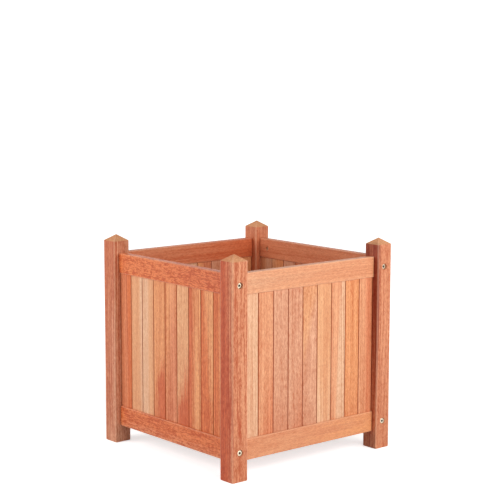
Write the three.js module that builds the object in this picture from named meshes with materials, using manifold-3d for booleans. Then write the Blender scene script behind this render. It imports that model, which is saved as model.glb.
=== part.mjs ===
// A square hardwood planter of the orangery kind: four pointed corner posts, four framed panels of
// tongue-and-groove slats, and a slatted floor. The front and back panels are tenoned into the posts.
// The two side panels are pulled up between them by bolts that run through the posts into barrel nuts.
//
// Millimetres, +Z up. The origin is on the ground under the centre. The front faces -Y, the left side -X.

import * as THREE from "three";
import { mergeVertices } from "three/addons/utils/BufferGeometryUtils.js";
import Module from "manifold-3d";

const wasm = await Module();
wasm.setup();

// ---- Driving dimensions ------------------------------------------------------------------------

// Whole planter
const WIDTH = 500; // square in plan, over the faces of the posts
const HEIGHT = 520; // ground to the points of the posts
const FIT = 0.3; // clearance on each side wherever one piece seats in or against another

// Posts
const POST = 45; // square section
const POINT_RISE = 15; // height of the pyramid that sheds the rain
const POST_ARRIS = 2.5; // radius of the eased long edges
const FOOT_EASE = 2; // radius round the underside of the foot

// Rails
const RAIL_THICKNESS = 18;
const RAIL_HEIGHT = 50;
const RAIL_ARRIS = 2;
const GROUND_CLEARANCE = 43; // under the bottom rails
const POINT_ABOVE_RAIL = 44; // from the top rails up to the points of the posts
const TENON_THICKNESS = 9;
const TENON_SHOULDER = 6; // above and below each tenon
const TENON_EASE = 1;
const TENON_WALL = 3; // wood left in the post between a mortise and the bolt hole

// Slats
const SLATS = 9; // in each panel
const SLAT_THICKNESS = 10;
const SLAT_ARRIS = 1.2; // radius of the eased edges that make the V of each joint
const SLAT_JOINT = 0.6; // open width of a joint at its tightest
const SLAT_HOUSING = 10; // depth of the groove in the rails
const TONGUE_THICKNESS = 3.5;
const TONGUE_LENGTH = 5;

// Bolts and barrel nuts
const BOLT = 6; // shank diameter
const BOLT_HOLE_PLAY = 0.5; // round the shank
const BOLT_LEAD = 1; // chamfer at the tip
const BOLT_PAST_NUT = 3.7; // how far the tip would run past the nut if its head were flush
const HEAD_DIAMETER = 13;
const HEAD_HEIGHT = 4;
const HEAD_CHAMFER = 0.9;
const TOP_HEAD_RECESS = 4; // below the face of the post: the upper bolts are sunk deeper
const BOTTOM_HEAD_RECESS = 1.5;
const HEAD_PLAY = 1; // round the head in its counterbore
const SOCKET_FLATS = 4; // across the flats of the hexagon
const SOCKET_DEPTH = 2.6;
const NUT_DIAMETER = 10;
const NUT_LENGTH = 12;
const NUT_INSET = 30; // from the rail's end to the nut's axis
const NUT_SLOT_WIDTH = 1.6;
const NUT_SLOT_DEPTH = 1.8;

// Floor
const LEDGER_WIDTH = 20; // the strip under the floor, on each side panel's bottom rail
const LEDGER_HEIGHT = 18;
const BOARDS = 4;
const BOARD_THICKNESS = 18;
const BOARD_ARRIS = 2;
const BOARD_GAP = 8; // lets water through
const BOARD_END_PLAY = 1;

// Smoothness: segments in each eased edge, and round each turned piece
const POST_EDGE_STEPS = 4;
const RAIL_EDGE_STEPS = 4;
const SLAT_EDGE_STEPS = 2;
const HEAD_STEPS = 24;
const SHANK_STEPS = 12;
const NUT_STEPS = 16;

// ---- Places worked out from them ---------------------------------------------------------------

const shoulder = HEIGHT - POINT_RISE; // where a post's pyramid starts
const panelPlane = WIDTH / 2 - POST / 2; // middle of the rails, slats and posts, from the centre
const span = WIDTH - 2 * POST; // clear between two posts
const railLength = span - 2 * FIT;
const topRail = { low: HEIGHT - POINT_ABOVE_RAIL - RAIL_HEIGHT, high: HEIGHT - POINT_ABOVE_RAIL };
const bottomRail = { low: GROUND_CLEARANCE, high: GROUND_CLEARANCE + RAIL_HEIGHT };
const boltHole = BOLT + 2 * BOLT_HOLE_PLAY;
const counterbore = HEAD_DIAMETER + 2 * HEAD_PLAY;
const nutDepth = POST + FIT + NUT_INSET; // from the post's face to the nut's axis
const mortiseDepth = POST / 2 - boltHole / 2 - TENON_WALL;
const floorUnderside = GROUND_CLEARANCE + LEDGER_HEIGHT + FIT;
const solidRail = RAIL_HEIGHT - SLAT_HOUSING; // height of the rail beside its groove
const tenonHeight = solidRail - 2 * TENON_SHOULDER;
const OVERCUT = 1; // how far a cutting tool runs past the surface it breaks

/** Height of a tenon's middle: it sits in the part of the rail that has no groove. */
const tenonMiddle = (rail) => (rail === topRail ? rail.high - solidRail / 2 : rail.low + solidRail / 2);
const boltLevel = (rail) => (rail.low + rail.high) / 2;

// A bolt's own depths, all measured in from the face of the post.
const headRecess = (rail) => (rail === topRail ? TOP_HEAD_RECESS : BOTTOM_HEAD_RECESS);
const headUnderside = (rail) => headRecess(rail) + HEAD_HEIGHT;
const boltTip = (rail) => nutDepth + NUT_DIAMETER / 2 + BOLT_PAST_NUT + headRecess(rail);

// ---- Finishes ----------------------------------------------------------------------------------

const wood = (colour) => new THREE.MeshStandardMaterial({ color: colour, roughness: 0.62, metalness: 0 });
const postWood = wood(0xc06d4c);
const railWood = wood(0xcf7f58);
const floorWood = wood(0xb87453);
const slatWoods = {
  pale: wood(0xe8b68c),
  honey: wood(0xdb9a6a),
  rose: wood(0xcc8c6b),
  amber: wood(0xd48354),
  russet: wood(0xbf6d48),
};
const zincedSteel = new THREE.MeshStandardMaterial({ color: 0xcfc6b4, roughness: 0.32, metalness: 1 });

// Which board came off the pile for each place, from a panel's left to its right as seen from outside.
const slatChoice = {
  front: ["pale", "amber", "rose", "rose", "rose", "honey", "pale", "amber", "honey"],
  right: ["honey", "rose", "amber", "pale", "honey", "russet", "rose", "amber", "pale"],
  back: ["amber", "honey", "rose", "amber", "pale", "honey", "amber", "rose", "honey"],
  left: ["amber", "pale", "pale", "honey", "rose", "honey", "rose", "amber", "russet"],
};

// ---- Solids ------------------------------------------------------------------------------------

/** A closed three.js geometry as a solid that can be cut and joined. */
function solidOf(geometry) {
  const bare = geometry.clone();
  bare.deleteAttribute("normal");
  bare.deleteAttribute("uv");
  const merged = mergeVertices(bare, 1e-4);
  return new wasm.Manifold(
    new wasm.Mesh({
      numProp: 3,
      vertProperties: merged.getAttribute("position").array,
      triVerts: new Uint32Array(merged.index.array),
    }),
  );
}

/** The solid back as a three.js geometry. */
function geometryOf(solid) {
  const mesh = solid.getMesh();
  const geometry = new THREE.BufferGeometry();
  geometry.setAttribute("position", new THREE.BufferAttribute(mesh.vertProperties, 3));
  geometry.setIndex(new THREE.BufferAttribute(mesh.triVerts, 1));
  geometry.computeVertexNormals();
  return geometry;
}

/** A rectangle with rounded corners. three.js takes two segments to an arc for each curve segment. */
function roundedRectangle(left, low, right, high, radius) {
  const shape = new THREE.Shape();
  shape.moveTo(left + radius, low);
  shape.lineTo(right - radius, low);
  shape.absarc(right - radius, low + radius, radius, -Math.PI / 2, 0, false);
  shape.lineTo(right, high - radius);
  shape.absarc(right - radius, high - radius, radius, 0, Math.PI / 2, false);
  shape.lineTo(left + radius, high);
  shape.absarc(left + radius, high - radius, radius, Math.PI / 2, Math.PI, false);
  shape.lineTo(left, low + radius);
  shape.absarc(left + radius, low + radius, radius, Math.PI, 1.5 * Math.PI, false);
  return shape;
}

// Where a drawing's own x, y and depth go: a plan stands up along Z, a side view lies along X,
// and a front view lies along Y.
const axes = {
  plan: new THREE.Matrix4(),
  side: new THREE.Matrix4().makeBasis(
    new THREE.Vector3(0, 1, 0),
    new THREE.Vector3(0, 0, 1),
    new THREE.Vector3(1, 0, 0),
  ),
  front: new THREE.Matrix4().makeBasis(
    new THREE.Vector3(1, 0, 0),
    new THREE.Vector3(0, 0, 1),
    new THREE.Vector3(0, -1, 0),
  ),
};

/** A drawing pushed through from one depth to another, along Z, X or -Y. */
function pushed(shape, view, from, to, edgeSteps) {
  const geometry = new THREE.ExtrudeGeometry(shape, {
    depth: to - from,
    bevelEnabled: false,
    curveSegments: edgeSteps / 2,
  });
  geometry.translate(0, 0, from);
  geometry.applyMatrix4(axes[view]);
  return solidOf(geometry);
}

/** A bar with all its edges eased, between two opposite corners. */
function easedBar(low, high, radius, edgeSteps) {
  const plan = roundedRectangle(low.x, low.y, high.x, high.y, radius);
  const side = roundedRectangle(low.y, low.z, high.y, high.z, radius);
  const front = roundedRectangle(low.x, low.z, high.x, high.z, radius);
  return pushed(plan, "plan", low.z, high.z, edgeSteps)
    .intersect(pushed(side, "side", low.x, high.x, edgeSteps))
    .intersect(pushed(front, "front", -high.y, -low.y, edgeSteps));
}

/** A plain block between two opposite corners. */
function block(low, high) {
  const size = new THREE.Vector3().subVectors(high, low);
  const middle = new THREE.Vector3().addVectors(high, low).multiplyScalar(0.5);
  return solidOf(new THREE.BoxGeometry(size.x, size.y, size.z).translate(middle.x, middle.y, middle.z));
}

/** A round bar along Y or X, from one depth to another, at a place given by the other two axes. */
function roundBar(diameter, along, from, to, across, z, steps) {
  const radius = diameter / 2 / Math.cos(Math.PI / steps); // the flats, not the corners, are at size
  const geometry = new THREE.CylinderGeometry(radius, radius, to - from, steps);
  geometry.translate(0, (from + to) / 2, 0);
  if (along === "x") geometry.rotateZ(-Math.PI / 2).translate(0, across, z);
  else geometry.translate(across, 0, z);
  return solidOf(geometry);
}

const point = (x, y, z) => new THREE.Vector3(x, y, z);

function place(name, geometry, material, x = 0, y = 0, z = 0, turn = 0) {
  const mesh = new THREE.Mesh(geometry, material);
  mesh.name = name;
  mesh.position.set(x, y, z);
  mesh.rotation.z = turn;
  return mesh;
}

// ---- Posts -------------------------------------------------------------------------------------

/** A post's outline seen square on: eased foot, straight sides, gable. Two of them crossed make the point. */
function postOutline() {
  const half = POST / 2;
  const shape = new THREE.Shape();
  shape.moveTo(-half + FOOT_EASE, 0);
  shape.lineTo(half - FOOT_EASE, 0);
  shape.absarc(half - FOOT_EASE, FOOT_EASE, FOOT_EASE, -Math.PI / 2, 0, false);
  shape.lineTo(half, shoulder);
  shape.lineTo(0, HEIGHT);
  shape.lineTo(-half, shoulder);
  shape.lineTo(-half, FOOT_EASE);
  shape.absarc(-half + FOOT_EASE, FOOT_EASE, FOOT_EASE, Math.PI, 1.5 * Math.PI, false);
  return shape;
}

/**
 * A post round its own axis, with its bolt holes coming in from -Y.
 * mortiseSide is 1 or -1: the X face that the panel's tenons enter.
 */
function postGeometry(mortiseSide) {
  const half = POST / 2;
  const section = roundedRectangle(-half, -half, half, half, POST_ARRIS);
  let post = pushed(section, "plan", 0, HEIGHT, POST_EDGE_STEPS)
    .intersect(pushed(postOutline(), "side", -half, half, POST_EDGE_STEPS))
    .intersect(pushed(postOutline(), "front", -half, half, POST_EDGE_STEPS));
  for (const rail of [topRail, bottomRail]) {
    const thick = TENON_THICKNESS / 2 + FIT;
    const tall = tenonHeight / 2 + FIT;
    const middle = tenonMiddle(rail);
    const ends = [mortiseSide * (half - mortiseDepth), mortiseSide * (half + OVERCUT)].sort((a, b) => a - b);
    post = post.subtract(block(point(ends[0], -thick, middle - tall), point(ends[1], thick, middle + tall)));

    const level = boltLevel(rail);
    const seat = -half + headUnderside(rail) + FIT;
    post = post
      .subtract(roundBar(boltHole, "y", -half - OVERCUT, half + OVERCUT, 0, level, SHANK_STEPS))
      .subtract(roundBar(counterbore, "y", -half - OVERCUT, seat, 0, level, HEAD_STEPS));
  }
  return geometryOf(post);
}

function makePosts() {
  const posts = new THREE.Group();
  const mortiseOnRight = postGeometry(1);
  const mortiseOnLeft = postGeometry(-1);
  posts.add(
    place("post_front_left", mortiseOnRight, postWood, -panelPlane, -panelPlane),
    place("post_front_right", mortiseOnLeft, postWood, panelPlane, -panelPlane),
    place("post_back_right", mortiseOnRight, postWood, panelPlane, panelPlane, 0, Math.PI),
    place("post_back_left", mortiseOnLeft, postWood, -panelPlane, panelPlane, 0, Math.PI),
  );
  return posts;
}

// ---- Panels: each is drawn as the front one, with its middle plane at y = 0 -----------------------

/** A rail with its groove for the slats, in the bottom edge of a top rail or the top edge of a bottom one. */
function railBlank(rail) {
  const half = RAIL_THICKNESS / 2;
  const bar = easedBar(
    point(-railLength / 2, -half, rail.low),
    point(railLength / 2, half, rail.high),
    RAIL_ARRIS,
    RAIL_EDGE_STEPS,
  );
  const groove = SLAT_THICKNESS / 2 + FIT;
  const [low, high] =
    rail === topRail
      ? [rail.low - OVERCUT, rail.low + SLAT_HOUSING]
      : [rail.high - SLAT_HOUSING, rail.high + OVERCUT];
  return bar.subtract(block(point(-span / 2, -groove, low), point(span / 2, groove, high)));
}

/** Front and back: a tenon on each end, housed in the posts. */
function tenonedRail(rail) {
  const reach = span / 2 + mortiseDepth - FIT;
  const middle = tenonMiddle(rail);
  const tenons = easedBar(
    point(-reach, -TENON_THICKNESS / 2, middle - tenonHeight / 2),
    point(reach, TENON_THICKNESS / 2, middle + tenonHeight / 2),
    TENON_EASE,
    SLAT_EDGE_STEPS,
  );
  return geometryOf(railBlank(rail).add(tenons));
}

/** Sides: a bolt hole up each end, crossed by a blind hole for the barrel nut that opens inside (+Y). */
function boltedRail(rail) {
  const half = RAIL_THICKNESS / 2;
  const level = boltLevel(rail);
  const holeDepth = boltTip(rail) - POST + BOLT_HOLE_PLAY; // from the post's inner face
  let bar = railBlank(rail);
  if (rail === bottomRail) {
    const ledger = easedBar(
      point(-railLength / 2, half - RAIL_ARRIS, rail.low),
      point(railLength / 2, half + LEDGER_WIDTH, rail.low + LEDGER_HEIGHT),
      RAIL_ARRIS,
      SLAT_EDGE_STEPS,
    );
    bar = bar.add(ledger);
  }
  for (const end of [-1, 1]) {
    const ends = [end * (span / 2 + OVERCUT), end * (span / 2 - holeDepth)].sort((a, b) => a - b);
    const nutAxis = end * (railLength / 2 - NUT_INSET);
    bar = bar
      .subtract(roundBar(boltHole, "x", ends[0], ends[1], 0, level, SHANK_STEPS))
      .subtract(
        roundBar(
          NUT_DIAMETER + 2 * FIT,
          "y",
          -NUT_LENGTH / 2 - FIT,
          half + LEDGER_WIDTH + OVERCUT,
          nutAxis,
          level,
          NUT_STEPS,
        ),
      );
  }
  return geometryOf(bar);
}

/**
 * The plan of one slat, which has its left shoulder at x = 0. The first slat of a panel has no groove
 * and the last has no tongue, because those edges close against the posts.
 */
function slatPlan(isFirst, isLast) {
  const half = SLAT_THICKNESS / 2;
  const width = span / SLATS - SLAT_JOINT;
  const tongue = TONGUE_THICKNESS / 2;
  const slot = tongue + FIT;
  const slotDepth = TONGUE_LENGTH - SLAT_JOINT + FIT;
  const r = SLAT_ARRIS;
  const shape = new THREE.Shape();
  shape.moveTo(r, -half);
  shape.lineTo(width - r, -half);
  shape.absarc(width - r, -half + r, r, -Math.PI / 2, 0, false);
  if (!isLast) {
    shape.lineTo(width, -tongue);
    shape.lineTo(width + TONGUE_LENGTH, -tongue);
    shape.lineTo(width + TONGUE_LENGTH, tongue);
    shape.lineTo(width, tongue);
  }
  shape.lineTo(width, half - r);
  shape.absarc(width - r, half - r, r, 0, Math.PI / 2, false);
  shape.lineTo(r, half);
  shape.absarc(r, half - r, r, Math.PI / 2, Math.PI, false);
  if (!isFirst) {
    shape.lineTo(0, slot);
    shape.lineTo(slotDepth, slot);
    shape.lineTo(slotDepth, -slot);
    shape.lineTo(0, -slot);
  }
  shape.lineTo(0, -half + r);
  shape.absarc(r, -half + r, r, Math.PI, 1.5 * Math.PI, false);
  return shape;
}

function slatGeometry(isFirst, isLast) {
  const low = bottomRail.high - SLAT_HOUSING + FIT;
  const high = topRail.low + SLAT_HOUSING - FIT;
  return geometryOf(pushed(slatPlan(isFirst, isLast), "plan", low, high, SLAT_EDGE_STEPS));
}

function makePanel(side, turn, railGeometry) {
  const panel = new THREE.Group();
  panel.add(
    place(`rail_${side}_top`, railGeometry(topRail), railWood),
    place(`rail_${side}_bottom`, railGeometry(bottomRail), railWood),
  );
  const firstSlat = slatGeometry(true, false);
  const innerSlat = slatGeometry(false, false);
  const lastSlat = slatGeometry(false, true);
  for (let i = 0; i < SLATS; i += 1) {
    const geometry = i === 0 ? firstSlat : i === SLATS - 1 ? lastSlat : innerSlat;
    const left = -span / 2 + (i * span) / SLATS + SLAT_JOINT / 2;
    const choices = slatChoice[side];
    const material = slatWoods[choices[i % choices.length]];
    panel.add(place(`slat_${side}_${i + 1}`, geometry, material, left));
  }
  panel.position.set(Math.sin(turn) * panelPlane, -Math.cos(turn) * panelPlane, 0);
  panel.rotation.z = turn;
  return panel;
}

// ---- Bolts and barrel nuts -----------------------------------------------------------------------

/**
 * A bolt along +Y from the post's face at y = 0, screwed through its barrel nut.
 * slotSide is 1 or -1: the X side that the nut's screwdriver slot faces.
 */
function boltGeometry(rail, slotSide) {
  const recess = headRecess(rail);
  const underside = headUnderside(rail);
  const tip = boltTip(rail);
  const headRadius = HEAD_DIAMETER / 2;
  const shankRadius = BOLT / 2;
  const head = new THREE.LatheGeometry(
    [
      new THREE.Vector2(0, recess),
      new THREE.Vector2(headRadius - HEAD_CHAMFER, recess),
      new THREE.Vector2(headRadius, recess + HEAD_CHAMFER),
      new THREE.Vector2(headRadius, underside),
      new THREE.Vector2(0, underside),
    ],
    HEAD_STEPS,
  );
  const shank = new THREE.LatheGeometry(
    [
      new THREE.Vector2(0, recess + HEAD_HEIGHT / 2),
      new THREE.Vector2(shankRadius, recess + HEAD_HEIGHT / 2),
      new THREE.Vector2(shankRadius, tip - BOLT_LEAD),
      new THREE.Vector2(shankRadius - BOLT_LEAD, tip),
      new THREE.Vector2(0, tip),
    ],
    SHANK_STEPS,
  );
  const socketRadius = SOCKET_FLATS / 2 / Math.cos(Math.PI / 6);
  const socketLength = SOCKET_DEPTH + OVERCUT;
  const socket = new THREE.CylinderGeometry(socketRadius, socketRadius, socketLength, 6);
  socket.translate(0, recess - OVERCUT + socketLength / 2, 0);

  const nutRadius = NUT_DIAMETER / 2;
  const nut = new THREE.CylinderGeometry(nutRadius, nutRadius, NUT_LENGTH, NUT_STEPS);
  nut.rotateZ(Math.PI / 2).translate(0, nutDepth, 0);
  const slotEnds = [
    slotSide * (NUT_LENGTH / 2 - NUT_SLOT_DEPTH),
    slotSide * (NUT_LENGTH / 2 + OVERCUT),
  ].sort((a, b) => a - b);
  const slot = block(
    point(slotEnds[0], nutDepth - nutRadius - OVERCUT, -NUT_SLOT_WIDTH / 2),
    point(slotEnds[1], nutDepth + nutRadius + OVERCUT, NUT_SLOT_WIDTH / 2),
  );

  const bolt = solidOf(head).add(solidOf(shank)).subtract(solidOf(socket));
  return geometryOf(bolt.add(solidOf(nut).subtract(slot)));
}

function makeBolts() {
  const bolts = new THREE.Group();
  const face = WIDTH / 2;
  for (const [level, rail] of Object.entries({ top: topRail, bottom: bottomRail })) {
    const slotToRight = boltGeometry(rail, 1);
    const slotToLeft = boltGeometry(rail, -1);
    const z = boltLevel(rail);
    bolts.add(
      place(`bolt_front_left_${level}`, slotToRight, zincedSteel, -panelPlane, -face, z),
      place(`bolt_front_right_${level}`, slotToLeft, zincedSteel, panelPlane, -face, z),
      place(`bolt_back_right_${level}`, slotToRight, zincedSteel, panelPlane, face, z, Math.PI),
      place(`bolt_back_left_${level}`, slotToLeft, zincedSteel, -panelPlane, face, z, Math.PI),
    );
  }
  return bolts;
}

// ---- Floor -------------------------------------------------------------------------------------

/** Boards laid from side to side on the two ledgers, between the posts, with gaps to drain. */
function makeFloor() {
  const floor = new THREE.Group();
  const halfLength = panelPlane - RAIL_THICKNESS / 2 - BOARD_END_PLAY;
  const width = (railLength - (BOARDS - 1) * BOARD_GAP) / BOARDS;
  const board = geometryOf(
    easedBar(
      point(-halfLength, -width / 2, 0),
      point(halfLength, width / 2, BOARD_THICKNESS),
      BOARD_ARRIS,
      SLAT_EDGE_STEPS,
    ),
  );
  for (let i = 0; i < BOARDS; i += 1) {
    const y = -railLength / 2 + width / 2 + i * (width + BOARD_GAP);
    floor.add(place(`floor_board_${i + 1}`, board, floorWood, 0, y, floorUnderside));
  }
  return floor;
}

// ---- The planter -------------------------------------------------------------------------------

const planter = new THREE.Group();
planter.name = "square_slatted_planter";
planter.add(
  makePosts(),
  makePanel("front", 0, tenonedRail),
  makePanel("right", Math.PI / 2, boltedRail),
  makePanel("back", Math.PI, tenonedRail),
  makePanel("left", -Math.PI / 2, boltedRail),
  makeBolts(),
  makeFloor(),
);

export default planter;
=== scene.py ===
"""The looks of a square slatted hardwood planter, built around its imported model.

Every board is made again as a fine surface with eased edges, in its own place, and carries attributes
that say how it was sawn: where the grain runs, its tones, and how strong its figure is. One hardwood
finish reads them. The bolts, barrel nuts, ledgers and screws are turned and carved here too.
All lengths are in metres.
"""

import logging
import math
from dataclasses import dataclass, replace
from enum import Enum
from itertools import product
from typing import Union

import bpy
import numpy as np
from mathutils import Matrix, Vector


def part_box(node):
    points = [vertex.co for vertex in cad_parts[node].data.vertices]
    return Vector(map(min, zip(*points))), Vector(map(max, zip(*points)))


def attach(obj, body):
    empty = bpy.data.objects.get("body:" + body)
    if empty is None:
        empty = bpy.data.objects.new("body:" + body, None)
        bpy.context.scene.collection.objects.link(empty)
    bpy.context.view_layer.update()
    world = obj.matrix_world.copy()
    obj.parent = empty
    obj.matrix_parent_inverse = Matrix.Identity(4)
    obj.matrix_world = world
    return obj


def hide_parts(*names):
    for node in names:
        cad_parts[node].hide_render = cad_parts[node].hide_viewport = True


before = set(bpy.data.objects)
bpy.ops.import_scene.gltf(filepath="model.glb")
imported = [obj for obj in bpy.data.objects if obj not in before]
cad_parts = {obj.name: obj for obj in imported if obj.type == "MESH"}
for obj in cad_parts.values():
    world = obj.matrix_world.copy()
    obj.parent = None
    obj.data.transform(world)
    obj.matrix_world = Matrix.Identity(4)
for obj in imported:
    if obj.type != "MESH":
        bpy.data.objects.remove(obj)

log = logging.getLogger("planter")

Array = np.ndarray
Colour = tuple[float, float, float]
Pair = tuple[float, float]
Point = Union[Array, Colour]

MM = 0.001
BODY = "root"
SUPPORT = 0.4 * MM  # a line of points this far inside a flat keeps the shading of its edge off it
WELD = 0.001 * MM  # points that round to the same step of this size are one
OVERCUT = 1 * MM  # how far a cutter runs past the surface that it breaks
POLE = 0.2  # a wide drill closes on rings of this share of its radius
DRILL_STEPS = 32  # points round a small hole
SHARP_ANGLE = math.radians(32)
UP = np.array([0.0, 0.0, 1.0])
CORNERS = np.array([[1, 1], [-1, 1], [-1, -1], [1, -1]], float)  # a rectangle's, anticlockwise
LEVELS = ("top", "bottom")


# ---- Surfaces worked out with numpy --------------------------------------------------------------


@dataclass
class Place:
    """A piece's own axes in the planter, as rows: along its grain or bore, across it and through it."""

    origin: Array
    axes: Array

    @classmethod
    def on(cls, origin: Point, along: Point, across: Point) -> "Place":
        """A right-handed place, whose third axis follows from the first two."""
        return cls(np.array(origin, float), np.array([along, across, np.cross(along, across)], float))

    def to_planter(self, points: Array) -> Array:
        """Points in its own axes, moved into the planter's."""
        return points @ self.axes + self.origin

    def to_own(self, points: Array) -> Array:
        """Points of the planter, in its own axes."""
        return (points - self.origin) @ self.axes.T


@dataclass
class Surface:
    """Points and faces of one surface, in a piece's own axes or the planter's.

    Args:
        points: (n, 3) places.
        faces: Each face's point numbers, in order.
        eased: (n,) 1 on an eased edge and 0 on a flat.
        end: (n,) 1 where the saw cut across the grain.
    """

    points: Array
    faces: list[list[int]]
    eased: Union[Array, float] = 0.0
    end: Union[Array, float] = 0.0

    def at(self, place: Place) -> "Surface":
        """The same surface, moved from a place's own axes into the planter's."""
        return replace(self, points=place.to_planter(self.points))

    def welded(self) -> "Surface":
        """The same surface, with points that coincide made one and faces that shrank to a line left out.

        Returns:
            The clean surface.
        """
        keys = np.round(self.points / WELD).astype(np.int64)
        _, first, which = np.unique(keys, axis=0, return_index=True, return_inverse=True)
        which = which.reshape(-1).tolist()
        rings = ([which[corner] for corner in face] for face in self.faces)
        faces = [[corner for k, corner in enumerate(ring) if corner != ring[k - 1]] for ring in rings]
        faces = [face for face in faces if len(face) > 2]
        return Surface(self.points[first], faces, self.eased[first], self.end[first])


def skin(rings: Array, eased: Union[Array, float] = 0.0, end: Union[Array, float] = 0.0) -> Surface:
    """Joins rings into one closed surface, with a flat face over the first and the last.

    Args:
        rings: (m, n, 3) points, ring by ring.
        eased: Flags of the eased edges, that broadcast to (m, n).
        end: Flags of the sawn ends, that broadcast to (m, n).

    Returns:
        The surface, with its faces pointing out.
    """
    shape = rings.shape[:2]
    index = np.arange(shape[0] * shape[1]).reshape(shape)
    following = np.roll(index, -1, axis=1)
    quads = np.stack([index[:-1], following[:-1], following[1:], index[1:]], axis=-1).reshape(-1, 4)
    points = rings.reshape(-1, 3)
    a, b, c, d = np.moveaxis(points[quads], 1, 0)
    volume = np.sum(a * (np.cross(b, c) + np.cross(c, d)))
    faces = quads.tolist() + [index[0][::-1].tolist(), index[-1].tolist()]
    if volume < 0:
        faces = [face[::-1] for face in faces]
    flags = (np.broadcast_to(flag, shape).reshape(-1).copy() for flag in (eased, end))
    return Surface(points, faces, *flags).welded()


def quarter_turns(steps: int) -> tuple[Array, Array, Array]:
    """The four eased corners of a square section, each with a support point on either side.

    A corner's arc is (cos a, sin a) for a over a quarter turn, and its support points slide off the
    arc's ends along the flats.

    Args:
        steps: Segments in each corner.

    Returns:
        (4, steps + 3, 2) directions from the arc's centre, the same shape of slides along the flats,
        and (steps + 3,) flags that are 1 on the arc.
    """
    angle = np.linspace(0, np.pi / 2, steps + 1)
    angle = np.concatenate([angle[:1], angle, angle[-1:]])
    start = np.arange(4)[:, None] * np.pi / 2
    arc = np.stack([np.cos(start + angle), np.sin(start + angle)], axis=-1)
    slide = np.zeros_like(arc)
    slide[:, 0] = np.hstack([np.sin(start), -np.cos(start)])
    slide[:, -1] = np.hstack([-np.cos(start), -np.sin(start)])
    on_arc = np.ones(len(angle))
    on_arc[[0, -1]] = 0
    return arc, slide, on_arc


def rounded_rings(half_u: Array, half_v: Array, radius: Array, steps: int) -> tuple[Array, Array]:
    """Rounded rectangles, one for each station along a board.

    Each corner's arc is centred one radius inside the corner: centre + radius * (cos a, sin a).

    Args:
        half_u: (m,) half widths.
        half_v: (m,) half thicknesses.
        radius: (m,) corner radii.
        steps: Segments in each corner.

    Returns:
        (m, n, 2) points round each ring, anticlockwise, and (n,) flags of the eased ones.
    """
    arc, slide, on_arc = quarter_turns(steps)
    halves = np.stack([half_u, half_v], axis=-1)[:, None, None, :]
    radii = radius[:, None, None, None]
    rings = CORNERS[None, :, None, :] * (halves - radii) + radii * arc[None]
    rings = rings + np.minimum(SUPPORT, radii) * slide[None]
    return rings.reshape(len(half_u), -1, 2), np.tile(on_arc, 4)


def section(
    half: Array,
    radius: float,
    steps: int,
    left: Union[Pair, None] = None,
    right: Union[Pair, None] = None,
) -> tuple[Array, Array]:
    """A rounded rectangle, with a square groove or tongue on its left or right, anticlockwise.

    Args:
        half: Half its size on both axes.
        radius: Radius of its corners.
        steps: Segments in each corner.
        left: Where the groove or tongue on its left ends, on the first axis, and half its width.
        right: The same for its right.

    Returns:
        (n, 2) points and (n,) flags of the eased ones.
    """
    rings, eased = rounded_rings(half[:1], half[1:], np.array([radius]), steps)
    parts = [(corner, eased[: len(corner)]) for corner in rings[0].reshape(4, -1, 2)]
    for after, sign, notch in ((4, 1, right), (2, -1, left)):
        if notch:
            stop, wide = notch
            square = [(sign * half[0], -wide), (stop, -wide), (stop, wide), (sign * half[0], wide)]
            parts.insert(after, (np.array(square) * (1, sign), np.zeros(4)))
    points, flags = zip(*parts)
    return np.concatenate(points), np.concatenate(flags)


def eased_ends(half_length: float, radius: float, steps: int) -> tuple[Array, Array, Array]:
    """Stations along a bar with eased ends, and how far its section has drawn in at each.

    At an end the edge follows a quarter circle: a turn of a goes in by radius * (1 - cos a) along the
    bar while the section draws in by radius * (1 - sin a).

    Args:
        half_length: Half the bar's length.
        radius: Radius of the eased edge.
        steps: Segments in the quarter circle.

    Returns:
        (m,) places along the bar, (m,) insets, and (m,) flags of the end faces.
    """
    angle = np.linspace(0, np.pi / 2, steps + 1)
    away = np.append(radius * (1 - np.cos(angle)), radius + SUPPORT)
    inset = np.append(radius * (1 - np.sin(angle)), 0)
    cut = np.append(np.linspace(1, 0, steps + 1), 0)
    along = np.concatenate([-half_length + away, (half_length - away)[::-1]])
    return along, np.concatenate([inset, inset[::-1]]), np.concatenate([cut, cut[::-1]])


@dataclass(frozen=True)
class Tenon:
    """The tenons of a bar: how far they reach from its middle, and the corners of their section."""

    reach: float
    low: Array
    high: Array


def bar(
    half_length: float,
    half: Array,
    radius: float,
    steps: int,
    tenon: Union[Tenon, None] = None,
    **notches: Pair,
) -> Surface:
    """A bar with all its edges eased: a section carried along and clamped, at each station, to a box.

    The box draws in at the bar's ends, and further in for its tenons.

    Args:
        half_length: Half its length, between the shoulders where it has tenons.
        half: Half its width and half its thickness.
        radius: Radius of its edges.
        steps: Segments in each edge.
        tenon: Its tenons, if it has them.
        notches: The section's grooves or tongues.

    Returns:
        The surface, in its own axes.
    """
    outline, eased = section(half, radius, steps, **notches)
    along, inset, cut = eased_ends(half_length, radius, steps)
    low = -half + inset[:, None]
    high = -low
    if tenon:
        ends = np.array([-tenon.reach, -half_length])
        along = np.concatenate([ends, along, -ends[::-1]])
        low, high = (
            np.concatenate([[corner] * 2, box, [corner] * 2])
            for corner, box in ((tenon.low, low), (tenon.high, high))
        )
        cut = np.pad(cut, 2, constant_values=1.0)
    clamped = np.clip(outline[None], low[:, None], high[:, None])
    stations = np.broadcast_to(along[:, None, None], clamped.shape[:2] + (1,))
    return skin(np.concatenate([stations, clamped], axis=-1), eased[None], cut[:, None])


def prism(outline: Array, half_length: float) -> Array:
    """A section carried straight along the first axis, as two rings."""
    return np.array([np.insert(outline, 0, end, axis=1) for end in (-half_length, half_length)])


def block(low: Array, high: Array) -> Surface:
    """A square solid between two corners, such as a mortise chisel takes out."""
    half = (high - low) / 2
    return skin(prism(CORNERS * half[1:], half[0]) + (low + high) / 2)


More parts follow.
